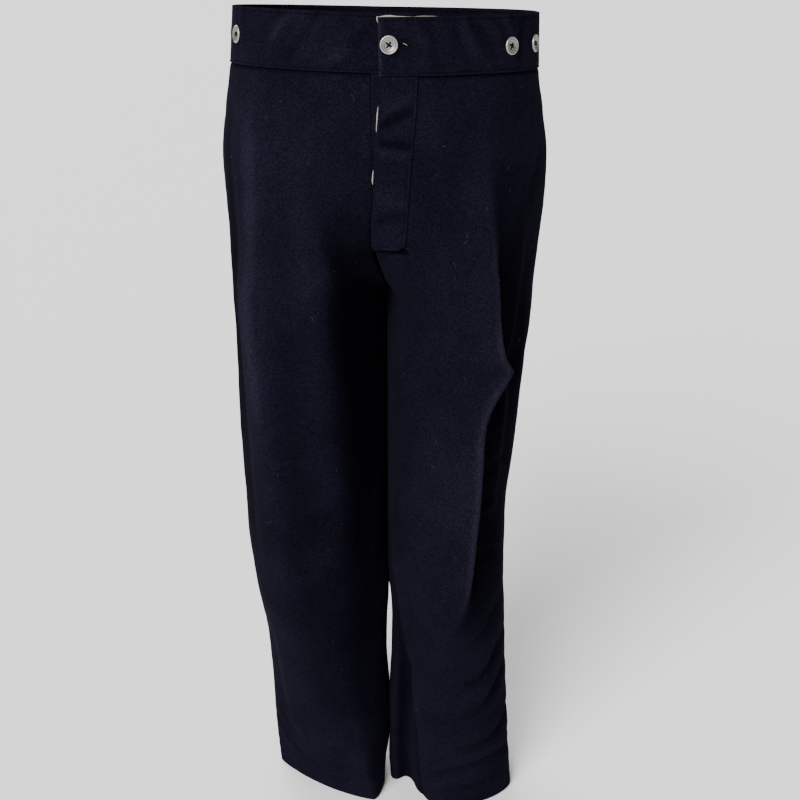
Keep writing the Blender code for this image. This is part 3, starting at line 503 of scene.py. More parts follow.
# Long folds: half, height, reaches in front of the line and behind it, shift of the line, and the line itself
# as rows of height, place and strength. A sharp side has a short reach.
LONG_FOLDS = (
    # the deep fold down the outside of the wearer's left leg: its lit edge, then the recess behind it
    ("left", 0.0055, 0.022, 0.0060, 0.0, (
        (-0.090, 0.131, 0.00), (-0.165, 0.134, 0.40), (-0.228, 0.132, 0.50), (-0.267, 0.131, 0.70),
        (-0.321, 0.127, 0.95), (-0.360, 0.117, 1.20), (-0.381, 0.100, 1.45), (-0.400, 0.115, 1.20),
        (-0.441, 0.127, 1.00), (-0.492, 0.121, 0.95), (-0.570, 0.111, 0.90), (-0.651, 0.108, 0.80),
        (-0.702, 0.113, 0.45), (-0.745, 0.132, 0.00))),
    ("left", -0.0200, 0.0095, 0.055, -0.0170, (
        (-0.130, 0.134, 0.00), (-0.180, 0.134, 0.22), (-0.228, 0.132, 0.38), (-0.267, 0.131, 0.60),
        (-0.321, 0.127, 0.90),
        (-0.360, 0.117, 1.00), (-0.381, 0.104, 1.00), (-0.405, 0.117, 1.05), (-0.441, 0.127, 1.05),
        (-0.492, 0.121, 0.95), (-0.570, 0.111, 0.85), (-0.651, 0.108, 0.65), (-0.702, 0.113, 0.30),
        (-0.745, 0.132, 0.00))),
    ("left", 0.0022, 0.0040, 0.0030, -0.0010, (
        (-0.240, 0.131, 0.00), (-0.321, 0.127, 0.60), (-0.360, 0.117, 0.90), (-0.381, 0.100, 1.00),
        (-0.400, 0.115, 1.10), (-0.441, 0.127, 1.10), (-0.492, 0.121, 1.00), (-0.570, 0.111, 1.00),
        (-0.651, 0.108, 0.80), (-0.710, 0.114, 0.00))),
    # a second, smaller fold from the hip
    ("left", -0.0030, 0.0110, 0.022, 0.0, HIP_LINE),
    ("left", 0.0012, 0.018, 0.012, 0.016, HIP_LINE),
    # the edge that parts the wearer's left shin from its shaded inner side, and the line behind it
    ("left", 0.0034, 0.0060, 0.014, 0.0, (
        (-0.500, 0.240, 0.00), (-0.590, 0.230, 0.40), (-0.648, 0.222, 0.80), (-0.720, 0.210, 1.00),
        (-0.786, 0.197, 1.00), (-0.837, 0.172, 1.00), (-0.894, 0.150, 1.00), (-0.942, 0.143, 0.90),
        (-1.020, 0.132, 0.80))),
    ("left", -0.0045, 0.022, 0.0070, 0.0, (
        (-0.560, 0.244, 0.00), (-0.648, 0.234, 0.70), (-0.720, 0.222, 1.00), (-0.786, 0.209, 1.00),
        (-0.837, 0.186, 1.00), (-0.894, 0.165, 1.00), (-0.942, 0.158, 0.90), (-1.020, 0.148, 0.80))),
    ("left", -0.0075, 0.0065, 0.0060, 0.0, (
        (-0.740, 0.210, 0.00), (-0.807, 0.206, 0.60), (-0.870, 0.197, 1.00), (-0.942, 0.194, 1.00),
        (-1.020, 0.189, 0.90))),
    # the soft ridge down the outside of the wearer's right leg, hollow behind it
    ("right", 0.0065, 0.018, 0.028, 0.0, (
        (-0.055, 0.086, 0.00), (-0.102, 0.092, 0.60), (-0.150, 0.098, 0.85), (-0.198, 0.102, 1.00),
        (-0.255, 0.105, 1.00), (-0.300, 0.100, 1.00), (-0.396, 0.103, 0.95), (-0.453, 0.107, 0.80),
        (-0.516, 0.109, 0.60), (-0.600, 0.104, 0.40), (-0.700, 0.098, 0.00))),
    ("right", -0.0055, 0.0160, 0.026, -0.046, (
        (-0.075, 0.090, 0.00), (-0.150, 0.098, 0.60), (-0.255, 0.105, 1.00), (-0.300, 0.100, 1.00),
        (-0.396, 0.103, 1.00), (-0.453, 0.107, 0.80), (-0.600, 0.104, 0.40), (-0.700, 0.098, 0.00))),
    ("right", 0.0014, 0.010, 0.0075, 0.024, (
        (-0.130, 0.096, 0.00), (-0.180, 0.102, 0.90), (-0.255, 0.105, 1.00), (-0.320, 0.102, 0.60),
        (-0.390, 0.103, 0.00))),
    # the hollow of the wearer's right thigh, from under the fly down to the knee
    ("right", 0.0036, 0.024, 0.040, 0.0, (
        (-0.165, 0.178, 0.00), (-0.210, 0.186, 0.80), (-0.260, 0.190, 1.00), (-0.330, 0.193, 1.00),
        (-0.411, 0.194, 0.90), (-0.513, 0.198, 0.75), (-0.624, 0.200, 0.50), (-0.740, 0.196, 0.00))),
    ("right", -0.0105, 0.036, 0.048, 0.078, (
        (-0.190, 0.186, 0.00), (-0.260, 0.190, 0.45), (-0.330, 0.193, 1.00), (-0.411, 0.194, 1.00),
        (-0.513, 0.180, 0.95), (-0.624, 0.148, 0.75), (-0.780, 0.110, 0.55), (-0.900, 0.090, 0.35),
        (-1.000, 0.080, 0.00))),
    ("right", -0.0060, 0.050, 0.030, 0.0, (
        (-0.165, 0.204, 0.00), (-0.205, 0.210, 0.60), (-0.245, 0.216, 0.90), (-0.300, 0.226, 0.90),
        (-0.360, 0.240, 0.60), (-0.430, 0.250, 0.00))),
    ("right", -0.0045, 0.045, 0.028, 0.0, (
        (-0.200, 0.150, 0.00), (-0.300, 0.152, 0.50), (-0.420, 0.150, 0.90), (-0.600, 0.140, 1.00),
        (-0.800, 0.125, 0.90), (-0.940, 0.115, 0.60), (-1.010, 0.110, 0.20))),
    # wrinkled edge low on the outside of the wearer's right leg
    ("right", 0.0016, 0.0130, 0.0080, 0.0, (
        (-0.720, 0.050, 0.00), (-0.780, 0.053, 0.80), (-0.835, 0.047, 0.60), (-0.891, 0.053, 1.00),
        (-0.930, 0.062, 0.50), (-0.975, 0.072, 0.00))),
    ("right", -0.0016, 0.0090, 0.016, -0.018, (
        (-0.740, 0.050, 0.00), (-0.800, 0.051, 0.80), (-0.860, 0.049, 0.80), (-0.920, 0.058, 0.80),
        (-0.975, 0.070, 0.00))),
    # behind: the drape below the seat on both legs
    ("left", -0.0065, 0.018, 0.028, 0.0, (
        (-0.240, -0.150, 0.00), (-0.330, -0.138, 0.80), (-0.430, -0.128, 1.00), (-0.540, -0.122, 0.60),
        (-0.660, -0.118, 0.00))),
    ("right", -0.0060, 0.024, 0.020, 0.0, (
        (-0.230, -0.128, 0.00), (-0.320, -0.132, 0.90), (-0.420, -0.126, 1.00), (-0.520, -0.112, 0.70),
        (-0.630, -0.104, 0.00))),
    ("left", 0.0034, 0.015, 0.012, 0.0, (
        (-0.560, -0.070, 0.00), (-0.680, -0.078, 0.90), (-0.800, -0.090, 1.00), (-0.930, -0.096, 0.70),
        (-1.020, -0.098, 0.50))),
    ("right", 0.0036, 0.012, 0.016, 0.0, (
        (-0.600, -0.062, 0.00), (-0.720, -0.074, 1.00), (-0.840, -0.084, 0.90), (-0.960, -0.088, 0.80),
        (-1.020, -0.090, 0.60))),
)

# Painted shade and highlight on the wool: where it is made darker or paler than its folds alone would make it
# under the lights, in the same columns. A shade counts as a depth of fold, but moves no cloth.
PAINTED_SHADES = (
    # painted shade on the far side of the deep fold, round to the outseam
    ("left", -0.0120, 0.020, 0.090, -0.0300, (
        (-0.230, 0.134, 0.00), (-0.290, 0.132, 0.40), (-0.340, 0.127, 0.85), (-0.381, 0.104, 1.00),
        (-0.441, 0.117, 1.00), (-0.520, 0.119, 0.80), (-0.620, 0.111, 0.35), (-0.700, 0.113, 0.00))),
    # painted highlight along the deep fold's lit edge
    ("left", 0.0090, 0.0095, 0.0075, -0.0055, (
        (-0.120, 0.134, 0.00), (-0.200, 0.132, 0.45), (-0.300, 0.129, 0.80), (-0.360, 0.117, 1.00),
        (-0.381, 0.102, 1.00), (-0.400, 0.115, 1.10), (-0.441, 0.127, 1.10), (-0.492, 0.121, 1.00),
        (-0.570, 0.111, 0.90), (-0.651, 0.108, 0.70), (-0.720, 0.114, 0.00))),
    # painted shade on the wearer's right thigh under the fly, on its outer side and down the shin, and
    # painted highlight on its outer ridge and low on the shin
    ("right", -0.0040, 0.080, 0.024, 0.0, (
        (-0.175, 0.212, 0.00), (-0.205, 0.218, 0.70), (-0.245, 0.222, 1.00), (-0.330, 0.222, 1.00),
        (-0.450, 0.210, 0.70), (-0.560, 0.200, 0.00))),
    ("right", -0.0024, 0.018, 0.040, -0.040, (
        (-0.060, 0.090, 0.00), (-0.150, 0.098, 0.70), (-0.300, 0.100, 1.00), (-0.453, 0.107, 0.90),
        (-0.600, 0.104, 0.60), (-0.720, 0.098, 0.00))),
    ("right", 0.0022, 0.012, 0.012, 0.0, (
        (-0.060, 0.088, 0.00), (-0.150, 0.098, 1.00), (-0.300, 0.100, 1.00), (-0.453, 0.107, 0.70),
        (-0.560, 0.106, 0.00))),
    ("right", -0.0012, 0.055, 0.055, 0.0, (
        (-0.300, 0.110, 0.00), (-0.420, 0.110, 0.60), (-0.560, 0.100, 1.00), (-0.680, 0.095, 0.50),
        (-0.780, 0.090, 0.00))),
    ("right", 0.0030, 0.050, 0.060, 0.0, (
        (-0.740, 0.150, 0.00), (-0.860, 0.150, 0.80), (-0.960, 0.150, 1.00), (-1.030, 0.150, 1.00))),
)

# Short creases, each from one end to the other. bow is how far its middle bends up or forward, and a trough
# is negative.
CREASE_COLUMNS = ("side", "place_a", "z_a", "place_b", "z_b", "bow", "reach", "height")
CREASES = (
    # drags low on the outside of the wearer's left leg
    ("left", 0.018, -0.758, 0.104, -0.815, 0.006, 0.0095, -0.0043),
    ("left", 0.010, -0.806, 0.088, -0.858, 0.005, 0.0081, -0.0038),
    ("left", -0.010, -0.874, 0.092, -0.914, 0.010, 0.0088, -0.0046),
    ("left", 0.004, -0.940, 0.128, -0.968, -0.014, 0.0074, -0.0035),
    ("left", 0.022, -0.700, 0.100, -0.752, 0.004, 0.0121, -0.0038),
    ("left", 0.030, -0.975, 0.112, -0.992, -0.006, 0.0061, -0.0020),
    # across the recess of the deep fold
    ("left", 0.112, -0.478, 0.074, -0.458, 0.002, 0.0050, 0.0022),
    ("left", 0.102, -0.580, 0.050, -0.566, 0.003, 0.0060, 0.0024),
    ("left", 0.098, -0.520, 0.040, -0.505, 0.004, 0.0080, -0.0020),
    ("left", 0.096, -0.625, 0.030, -0.640, 0.004, 0.0075, -0.0020),
    ("left", 0.112, -0.388, 0.134, -0.420, 0.002, 0.0040, 0.0012),
    ("left", 0.118, -0.380, 0.150, -0.398, 0.003, 0.0065, -0.0011),
    # front of the wearer's left thigh and knee
    ("left", 0.205, -0.300, 0.145, -0.340, -0.006, 0.0120, -0.0010),
    ("left", 0.190, -0.720, 0.135, -0.742, 0.004, 0.0100, -0.0012),
    ("left", 0.214, -0.262, 0.190, -0.292, 0.000, 0.0080, -0.0013),
    # front of the wearer's right leg: the crotch drag, knee and shin
    ("right", 0.182, -0.186, 0.236, -0.262, 0.008, 0.0140, -0.0026),
    ("right", 0.205, -0.230, 0.246, -0.290, 0.006, 0.0120, -0.0022),
    ("right", 0.205, -0.560, 0.130, -0.610, 0.010, 0.0150, -0.0016),
    ("right", 0.195, -0.640, 0.120, -0.690, -0.006, 0.0140, -0.0015),
    ("right", 0.180, -0.520, 0.150, -0.560, 0.004, 0.0120, -0.0012),
    ("right", 0.016, -0.925, 0.056, -0.968, 0.004, 0.0045, -0.0022),
    ("right", 0.030, -0.900, 0.075, -0.935, -0.004, 0.0050, 0.0014),
    ("right", 0.150, -0.930, 0.100, -0.955, 0.004, 0.0090, -0.0010),
    ("right", 0.060, -0.985, 0.120, -0.996, 0.004, 0.0060, -0.0009),
    # waistband, both halves
    ("right", 0.196, 0.004, 0.146, -0.044, 0.004, 0.0061, 0.0032),
    ("right", 0.186, 0.002, 0.160, -0.030, -0.002, 0.0050, -0.0029),
    ("right", 0.130, -0.010, 0.112, -0.052, 0.003, 0.0058, 0.0019),
    ("right", 0.062, 0.002, 0.070, -0.050, 0.002, 0.0043, 0.0023),
    ("right", 0.208, -0.036, 0.176, -0.050, 0.001, 0.0050, 0.0019),
    ("left", 0.108, 0.004, 0.090, -0.030, 0.002, 0.0043, 0.0025),
    ("left", 0.152, 0.002, 0.134, -0.046, -0.002, 0.0054, 0.0023),
    ("left", 0.186, -0.004, 0.176, -0.052, 0.002, 0.0058, -0.0019),
    ("left", 0.072, -0.006, 0.080, -0.052, -0.002, 0.0058, -0.0023),
    ("right", 0.176, 0.004, 0.128, -0.050, -0.004, 0.0065, -0.0024),
    ("right", 0.150, 0.002, 0.104, -0.036, 0.003, 0.0058, 0.0020),
    ("right", 0.228, -0.008, 0.206, -0.044, 0.002, 0.0054, -0.0016),
    ("left", 0.206, -0.012, 0.170, -0.040, 0.003, 0.0061, 0.0016),
    ("left", 0.140, -0.006, 0.112, -0.048, 0.003, 0.0061, -0.0018),
    # across the fly strip
    ("left", 0.236, -0.100, 0.206, -0.082, 0.001, 0.0052, -0.0008),
    ("left", 0.238, -0.119, 0.207, -0.124, 0.001, 0.0040, -0.0009),
    ("left", 0.238, -0.126, 0.207, -0.131, 0.001, 0.0040, 0.0005),
    ("left", 0.236, -0.160, 0.212, -0.178, 0.002, 0.0060, 0.0004),
    # seat and back of the thighs
    ("right", -0.215, -0.292, -0.115, -0.330, 0.010, 0.0090, -0.0030),
    ("right", -0.205, -0.335, -0.100, -0.388, 0.012, 0.0100, -0.0026),
    ("right", -0.200, -0.240, -0.090, -0.222, 0.008, 0.0110, -0.0018),
    ("right", -0.120, -0.095, -0.060, -0.140, 0.004, 0.0120, -0.0012),
    ("left", -0.222, -0.285, -0.130, -0.312, 0.008, 0.0080, -0.0028),
    ("left", -0.208, -0.322, -0.104, -0.366, 0.012, 0.0095, -0.0030),
    ("left", -0.188, -0.232, -0.080, -0.205, -0.006, 0.0120, -0.0016),
    ("left", -0.140, -0.105, -0.080, -0.160, 0.004, 0.0110, -0.0013),
    # behind the knees
    ("right", -0.176, -0.520, -0.066, -0.548, -0.010, 0.0080, -0.0032),
    ("right", -0.160, -0.572, -0.040, -0.586, -0.008, 0.0075, -0.0028),
    ("right", -0.182, -0.618, -0.084, -0.602, 0.008, 0.0085, -0.0024),
    ("left", -0.166, -0.506, -0.052, -0.532, -0.008, 0.0085, -0.0030),
    ("left", -0.180, -0.556, -0.070, -0.566, -0.010, 0.0070, -0.0032),
    ("left", -0.150, -0.604, -0.034, -0.588, 0.006, 0.0080, -0.0022),
    # calves and the backs of the hems
    ("right", -0.150, -0.742, -0.040, -0.790, 0.010, 0.0090, -0.0024),
    ("right", -0.168, -0.862, -0.070, -0.832, -0.008, 0.0085, -0.0024),
    ("right", -0.140, -0.946, -0.040, -0.968, -0.008, 0.0065, -0.0022),
    ("left", -0.158, -0.722, -0.060, -0.762, 0.008, 0.0090, -0.0026),
    ("left", -0.140, -0.828, -0.036, -0.858, -0.008, 0.0080, -0.0022),
    ("left", -0.172, -0.930, -0.070, -0.958, -0.010, 0.0070, -0.0024),
)
CREASE_SHOULDER = 0.30
CREASE_SHOULDER_AT = 1.9
CREASE_SHOULDER_WIDTH = 0.8
CREASE_END = 0.12

# Unevenness of handled cloth: size of its cells and how high they stand
UNEVEN = ((0.060, 0.00070, 11), (0.022, 0.00028, 12), (0.009, 0.00010, 13))
UNEVEN_FADE = 0.018
CALM_BESIDE_FLY = 0.060
CALM_BELOW = 0.262
CALM_FADE = 0.04
FLY_DEEPEST = {"right": -0.0012, "left": -0.0009}
FLY_MOST = 0.0005
INSEAM_CALM = 0.045
INSEAM_DEEPEST = 0.008
INSEAM_MOST = 0.0001
INSEAM_CALM_ABOVE = 0.06
INSEAM_CALM_FADE = 0.04
INSEAM_LOOSE_BELOW = 0.70
INSEAM_LOOSE_FADE = 0.06
LEGS_REACH = 0.055
LEGS_FULLNESS = 1.25
LEGS_SEARCH = 0.07
LEGS_SEARCH_POINTS = 29
LEFT_SEED = 50

# Space left between the legs at a height: they touch at the thighs and again above the hems
LEG_GAP = (
    (CROTCH_Z, -0.0012), (-0.690, -0.0006), (-0.722, 0.0030), (-0.760, 0.0068), (-0.800, 0.0068),
    (-0.842, 0.0022), (-0.860, 0.0004), (-0.945, 0.0004), (-0.970, 0.0040), (HEM_Z, 0.0090),
)

# Darkest and lightest tone of the wool
WOOL_DARK = (0.0025, 0.0023, 0.0053)
WOOL_LIGHT = (0.0064, 0.0058, 0.0119)


def swell_at(distance, height, middle, reach):
    """A soft swell of that height around the middle; a hollow where the height is negative."""
    return height * np.exp(-(((distance - middle) / reach) ** 2))


def value_noise(u, v, cell, seed):
    """Smooth random heights from -1 to 1, over cells of that size."""
    table = np.random.default_rng(seed).uniform(-1, 1, (256, 256))
    u, v = np.asarray(u) / cell, np.asarray(v) / cell
    i, j = np.floor(u).astype(int), np.floor(v).astype(int)
    s, t = ease(u - i), ease(v - j)
    left, right, low, high = i % 256, (i + 1) % 256, j % 256, (j + 1) % 256
    below = table[left, low] * (1 - s) + table[right, low] * s
    above = table[left, high] * (1 - s) + table[right, high] * s
    return below * (1 - t) + above * t


def long_fold_height(side, place, z, folds=LONG_FOLDS):
    """Height of the long folds over the cloth, or depth of the painted shades on it."""
    total = np.zeros_like(place)
    for half, height, reach_front, reach_back, shift, line in folds:
        if half != side:
            continue
        heights, places, strengths = zip(*line)
        away = place - smooth_curve(heights, places, z) - shift
        reach = np.where(away > 0, reach_front, reach_back)
        strength = smooth_curve(heights, strengths, z)
        strength = strength * ((z < heights[0]) & (z > heights[-1]))
        total += height * strength * np.exp(-((away / reach) ** 2))
    return total


def crease_height(side, place, z):
    """Height of the short creases: a soft trough or ridge, with a low shoulder on both sides."""
    total = np.zeros_like(place)
    for row in CREASES:
        crease = dict(zip(CREASE_COLUMNS, row))
        if crease["side"] != side:
            continue
        run = np.array([crease["place_b"] - crease["place_a"], crease["z_b"] - crease["z_a"]])
        length = float(np.hypot(*run))
        over, up = place - crease["place_a"], z - crease["z_a"]
        along = (over * run[0] + up * run[1]) / length ** 2
        inside = np.clip(along, 0, 1)
        off = (over * run[1] - up * run[0]) / length - crease["bow"] * np.sin(math.pi * inside)
        beyond = (along - inside) * length / crease["reach"]
        swell = np.sin(math.pi * (CREASE_END + (1 - 2 * CREASE_END) * inside)) * np.exp(-beyond ** 2)
        off = off / crease["reach"]
        shoulder = swell_at(np.abs(off), CREASE_SHOULDER, CREASE_SHOULDER_AT, CREASE_SHOULDER_WIDTH)
        shape = np.exp(-off ** 2) - shoulder
        total += crease["height"] * swell * shape
    return total


def cut_area(rows, cuts):
    """Flat area of a piece of cloth from its width at each height."""
    rows, cuts = np.asarray(rows, float), np.asarray(cuts, float)
    return float((0.5 * (cuts[1:] + cuts[:-1]) * np.abs(np.diff(rows))).sum())


@functools.lru_cache(maxsize=None)
def leg_swell(side, z):
    """How far one leg's inner side is filled out to meet the other, and the places where it comes nearest."""
    spots, nearest = [], []
    for half in ("right", "left"):
        front_width, back_width = widths(half, z)
        place = np.concatenate([
            np.linspace(front_width - LEGS_SEARCH, front_width, LEGS_SEARCH_POINTS),
            np.linspace(-back_width, -back_width + LEGS_SEARCH, LEGS_SEARCH_POINTS),
        ])
        inward = bare_ring(half, z, place)[:, 0] * (1 if half == "right" else -1)
        nearest.append(-float(inward.max()))
        best = float(place[int(np.argmax(inward))])
        spots.append(best - front_width if best > 0 else best + back_width)
    heights, gaps = zip(*LEG_GAP)
    spare = sum(nearest) - float(smooth_curve(heights, gaps, z))
    return max(spare, 0.0) / 2, spots[0 if side == "right" else 1]


def relief(side, place, z):
    """Everything that the folds and creases add to one half's plain form, at grids of places and heights."""
    front_width = np.array([widths(side, row[0])[0] for row in z])[:, None]
    back_width = np.array([widths(side, row[0])[1] for row in z])[:, None]
    seed = 0 if side == "right" else LEFT_SEED
    total = long_fold_height(side, place, z) + crease_height(side, place, z)
    from_seam = np.minimum(np.abs(place), np.minimum(np.abs(front_width - place), np.abs(place + back_width)))
    uneven = sum(high * value_noise(place + 3, z + 3, cell, seed + k) for cell, high, k in UNEVEN)
    total = total + uneven * ease(from_seam / UNEVEN_FADE)
    edge = front_width - place
    calm = ease(1 - edge / CALM_BESIDE_FLY) * ease((z + CALM_BELOW) / CALM_FADE)
    small = np.clip(total, FLY_DEEPEST[side], FLY_MOST)
    total = total * (1 - calm) + small * calm
    beside = np.minimum(np.abs(edge), np.abs(place + back_width))
    near_inseam = ease(1 - beside / INSEAM_CALM) * ease((CROTCH_Z + INSEAM_CALM_ABOVE - z) / INSEAM_CALM_FADE)
    low_limit = -INSEAM_MOST - INSEAM_DEEPEST * ease((-INSEAM_LOOSE_BELOW - z) / INSEAM_LOOSE_FADE)
    total = total * (1 - near_inseam) + np.clip(total, low_limit, INSEAM_MOST) * near_inseam
    swell, spot = np.zeros(len(z)), np.zeros(len(z))
    for row, height in enumerate(z[:, 0]):
        if height < CROTCH_Z - 0.001:
            swell[row], spot[row] = leg_swell(side, round(float(height), 6))
    from_inseam = np.where(place > 0, place - front_width, place + back_width)
    aside = np.abs(from_inseam - spot[:, None])
    return total + swell[:, None] * ease(LEGS_FULLNESS * (1 - aside / LEGS_REACH))


def seam_relief(z, distance):
    """A pressed-open seam: lifted over its allowance, and sunk where the stitching draws it in."""
    pucker = 1 + SEAM_PUCKER * value_noise(z, np.ones_like(z), SEAM_PUCKER_CELL, 7)
    lift = SEAM_LIFT * ease((SEAM_LIFT_WIDTH - distance) / SEAM_LIFT_FADE) * pucker
    return lift - swell_at(distance, SEAM_SINK, 0.0, SEAM_SINK_WIDTH)


def rail(side, z, place):
    """Points of the plain form around one half at a height, and the directions out of the cloth there."""
    place = np.asarray(place, float)
    front_width, back_width = widths(side, z)
    before, after = place + STEP, place - STEP
    if z >= CROTCH_Z:
        before = np.where(place <= front_width + MERGE, np.minimum(before, front_width), before)
        after = np.where(place >= -back_width - MERGE, np.maximum(after, -back_width), after)
    around = bare_ring(side, z, after) - bare_ring(side, z, before)
    here = bare_ring(side, z, place)
    up = here - bare_ring(side, z - STEP, place)
    outward = np.cross(around, up) * (-1.0 if side == "right" else 1.0)
    return here, outward / np.linalg.norm(outward, axis=1)[:, None]


def rounded(distance, radius=ROUNDING):
    """How far a cloth's face is drawn in at a distance from its rounded edge."""
    into = np.clip(1 - distance / radius, 0, 1)
    return radius * (1 - np.sqrt(1 - into ** 2))


def with_edges(low, high, count):
    """Places from low to high, close together at the ends so that the edges there can be rounded."""
    steps = np.array(EDGE_STEPS)
    middle = np.linspace(low + EDGE_BAND, high - EDGE_BAND, count + 1)
    return np.concatenate([low + steps, middle, high - steps[::-1]])


class Wall:
    """A closed wall of cloth over a grid of places and heights on one half. Its fold value, scaled by tone,
    sets the painted shade and highlight in the wool's colour.
    """

    def __init__(self, side, heights, places, outside, thickness, extra=None, rounding=ROUNDING,
                 ends=(1, 1, 1, 1), tone=1.0):
        self.side = side
        rails = [rail(side, z, row) for z, row in zip(heights, places)]
        self.place = np.array(places)
        self.z = np.repeat(np.asarray(heights, float)[:, None], self.place.shape[1], axis=1)
        points = np.array([point for point, _ in rails])
        outward = np.array([direction for _, direction in rails])
        first, last = self.place[:, :1], self.place[:, -1:]
        self.from_first, self.from_last = np.abs(self.place - first), np.abs(last - self.place)
        self.from_top, self.from_bottom = self.z[0, 0] - self.z, self.z - self.z[-1, 0]
        distances = (self.from_first, self.from_last, self.from_top, self.from_bottom)
        near = [np.where(used, distance, 1.0) for used, distance in zip(ends, distances)]
        self.fold = relief(side, self.place, self.z)
        level = outside + self.fold
        if callable(thickness):
            thickness = thickness(self.z)
        thickness = np.broadcast_to(np.asarray(thickness), self.z.shape)
        # painted shade and highlight: the fold value that sets the wool's tone, scaled by tone and with the
        # painted shades added
        self.fold = self.fold * tone + long_fold_height(side, self.place, self.z, PAINTED_SHADES)
        if extra is not None:
            added = extra(self)
            level = level + added
            # painted shade in seams, stitching and grooves, such as under the fly strip's foot, and painted
            # highlight on lifts and curls
            self.fold = self.fold + SEAM_SHADING_GAIN * added
        most = np.minimum(rounding, thickness * ROUNDED_SHARE)
        drawn = most * rounded(np.minimum.reduce(near) / most, 1.0)
        self.outer = points + outward * (level - drawn)[..., None]
        self.inner = points + outward * (level - thickness + drawn)[..., None]
        ends_behind = np.array([widths(side, z)[1] for z in heights])[:, None] + self.place < CLOSED_WITHIN
        closed = ends_behind & (self.z >= CROTCH_Z)
        for face in (self.outer, self.inner):
            face[..., 0] = np.where(closed, JOIN * (-1 if side == "right" else 1), face[..., 0])
        self.flip = side == "right"
        if self.place[0, -1] > self.place[0, 0]:
            self.flip = not self.flip

    def mesh_parts(self):
        """Vertices, faces and texture coordinates of the closed wall."""
        rows, columns = self.z.shape
        vertices = np.concatenate([self.outer.reshape(-1, 3), self.inner.reshape(-1, 3)])
        uv = np.stack([self.place.ravel(), self.z.ravel()], axis=1)
        index = np.arange(rows * columns).reshape(rows, columns)
        inside = rows * columns
        a, b, c, d = index[:-1, :-1], index[:-1, 1:], index[1:, 1:], index[1:, :-1]
        quads = [
            np.stack([a, d, c, b], -1).reshape(-1, 4),
            np.stack([a, b, c, d], -1).reshape(-1, 4) + inside,
        ]

        def strip(line, turned):
            one, two = line[:-1], line[1:]
            quad = np.stack([one, two, two + inside, one + inside], -1)
            return quad[:, ::-1] if turned else quad

        quads += [strip(index[0], False), strip(index[-1], True), strip(index[:, 0], True),
                  strip(index[:, -1], False)]
        faces = np.concatenate(quads)
        return vertices, faces[:, ::-1] if self.flip else faces, np.concatenate([uv, uv])


def in_scene(name, data):
    """A new object in the scene."""
    made = bpy.data.objects.new(name, data)
    bpy.context.scene.collection.objects.link(made)
    return made


def cloth_piece(name, walls, finish):
    """One object of several walls, with the cloth's own places as its texture coordinates."""
    vertices, faces, uvs, folds, start = [], [], [], [], 0
    for wall in walls:
        v, f, uv = wall.mesh_parts()
        folds += [wall.fold.ravel(), wall.fold.ravel()]
        vertices.append(v)
        faces.append(f + start)
        uvs.append(uv)
        start += len(v)
    vertices, faces, uvs = np.concatenate(vertices), np.concatenate(faces), np.concatenate(uvs)
    mesh = bpy.data.meshes.new(name)
    mesh.from_pydata(vertices, [], faces)
    # the fold value carries the painted shade and highlight for the wool's tone
    height = mesh.attributes.new("fold", "FLOAT", "POINT")
    height.data.foreach_set("value", np.concatenate(folds).astype(np.float32))
    layer = mesh.uv_layers.new(name="cloth")
    corner = np.zeros(len(mesh.loops), int)
    mesh.loops.foreach_get("vertex_index", corner)
    layer.data.foreach_set("uv", uvs[corner].astype(np.float32).ravel())
    shape = bmesh.new()
    shape.from_mesh(mesh)
    bmesh.ops.remove_doubles(shape, verts=shape.verts, dist=WELD)
    bmesh.ops.dissolve_degenerate(shape, edges=shape.edges, dist=TOO_SHORT)
    shape.to_mesh(mesh)
    shape.free()
    mesh.shade_smooth()
    mesh.materials.append(finish)
    piece = in_scene(name, mesh)
    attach(piece, "root")
    return piece


def leg_rows():
    """Heights of a panel's rows: closer where the fork closes up, and at the top and hem."""
    fork_top = CROTCH_Z + FORK
    top = SEAM_Z + TUCKED
    start = top - np.array(EDGE_STEPS)
    hip = np.linspace(top - EDGE_BAND, fork_top, int((top - fork_top) / ROW), endpoint=False)
    turn = np.linspace(math.pi / 2, 0, FORK_ROWS, endpoint=False)
    fork = CROTCH_Z + FORK * (1 - np.cos(turn))
    leg = np.linspace(CROTCH_Z, HEM_Z + HEM_ZONE, int((CROTCH_Z - HEM_Z - HEM_ZONE) / ROW))
    hem = HEM_Z + np.concatenate([np.linspace(*HEM_TURN_ROWS), np.linspace(*HEM_ROWS)])
    return np.concatenate([start, hip, fork, leg, hem, HEM_Z + np.array(HEM_STEPS)])


def stand_edge(z):
    """How far the right front's edge stops short of the fly's edge, where the button stand shows."""
    return STAND_SHOWS * float(ease((z + STAND_SHOWS_TO) / (STAND_SHOWS_TO - WAISTBAND_HEIGHT)))


def panel_row(side, part, z):
    """Places of a panel's columns at a height. They keep their spacing up past the fork, where its edge
    cuts them off, and run close together along both edges."""
    which = PARTS.index(part)
    step = GRID if part == "front" else BACK_GRID
    full, cut = widths(side, CROTCH_Z, forked=False)[which], widths(side, z)[which]
    here = widths(side, z, forked=False)[which]
    edge = cut - JOIN
    if side == "right" and part == "front":
        edge -= stand_edge(z)
    limit = edge - EDGE_BAND
    count = int(round(full / step))
    middle = np.linspace(EDGE_BAND, here, count + 1)
    middle = np.where(middle > limit - here / count * SNAP, limit, middle)
    steps = np.array(EDGE_STEPS)
    place = np.concatenate([JOIN + steps, middle, edge - steps[::-1]])
    return place if part == "front" else -place


def hem_thickness(z):
    """The panel's wall, doubled where the hem is turned up inside."""
    return CLOTH + TURN_UP_CLOTH * ease((HEM_Z + TURN_UP - z) / TURN_UP_STEP)


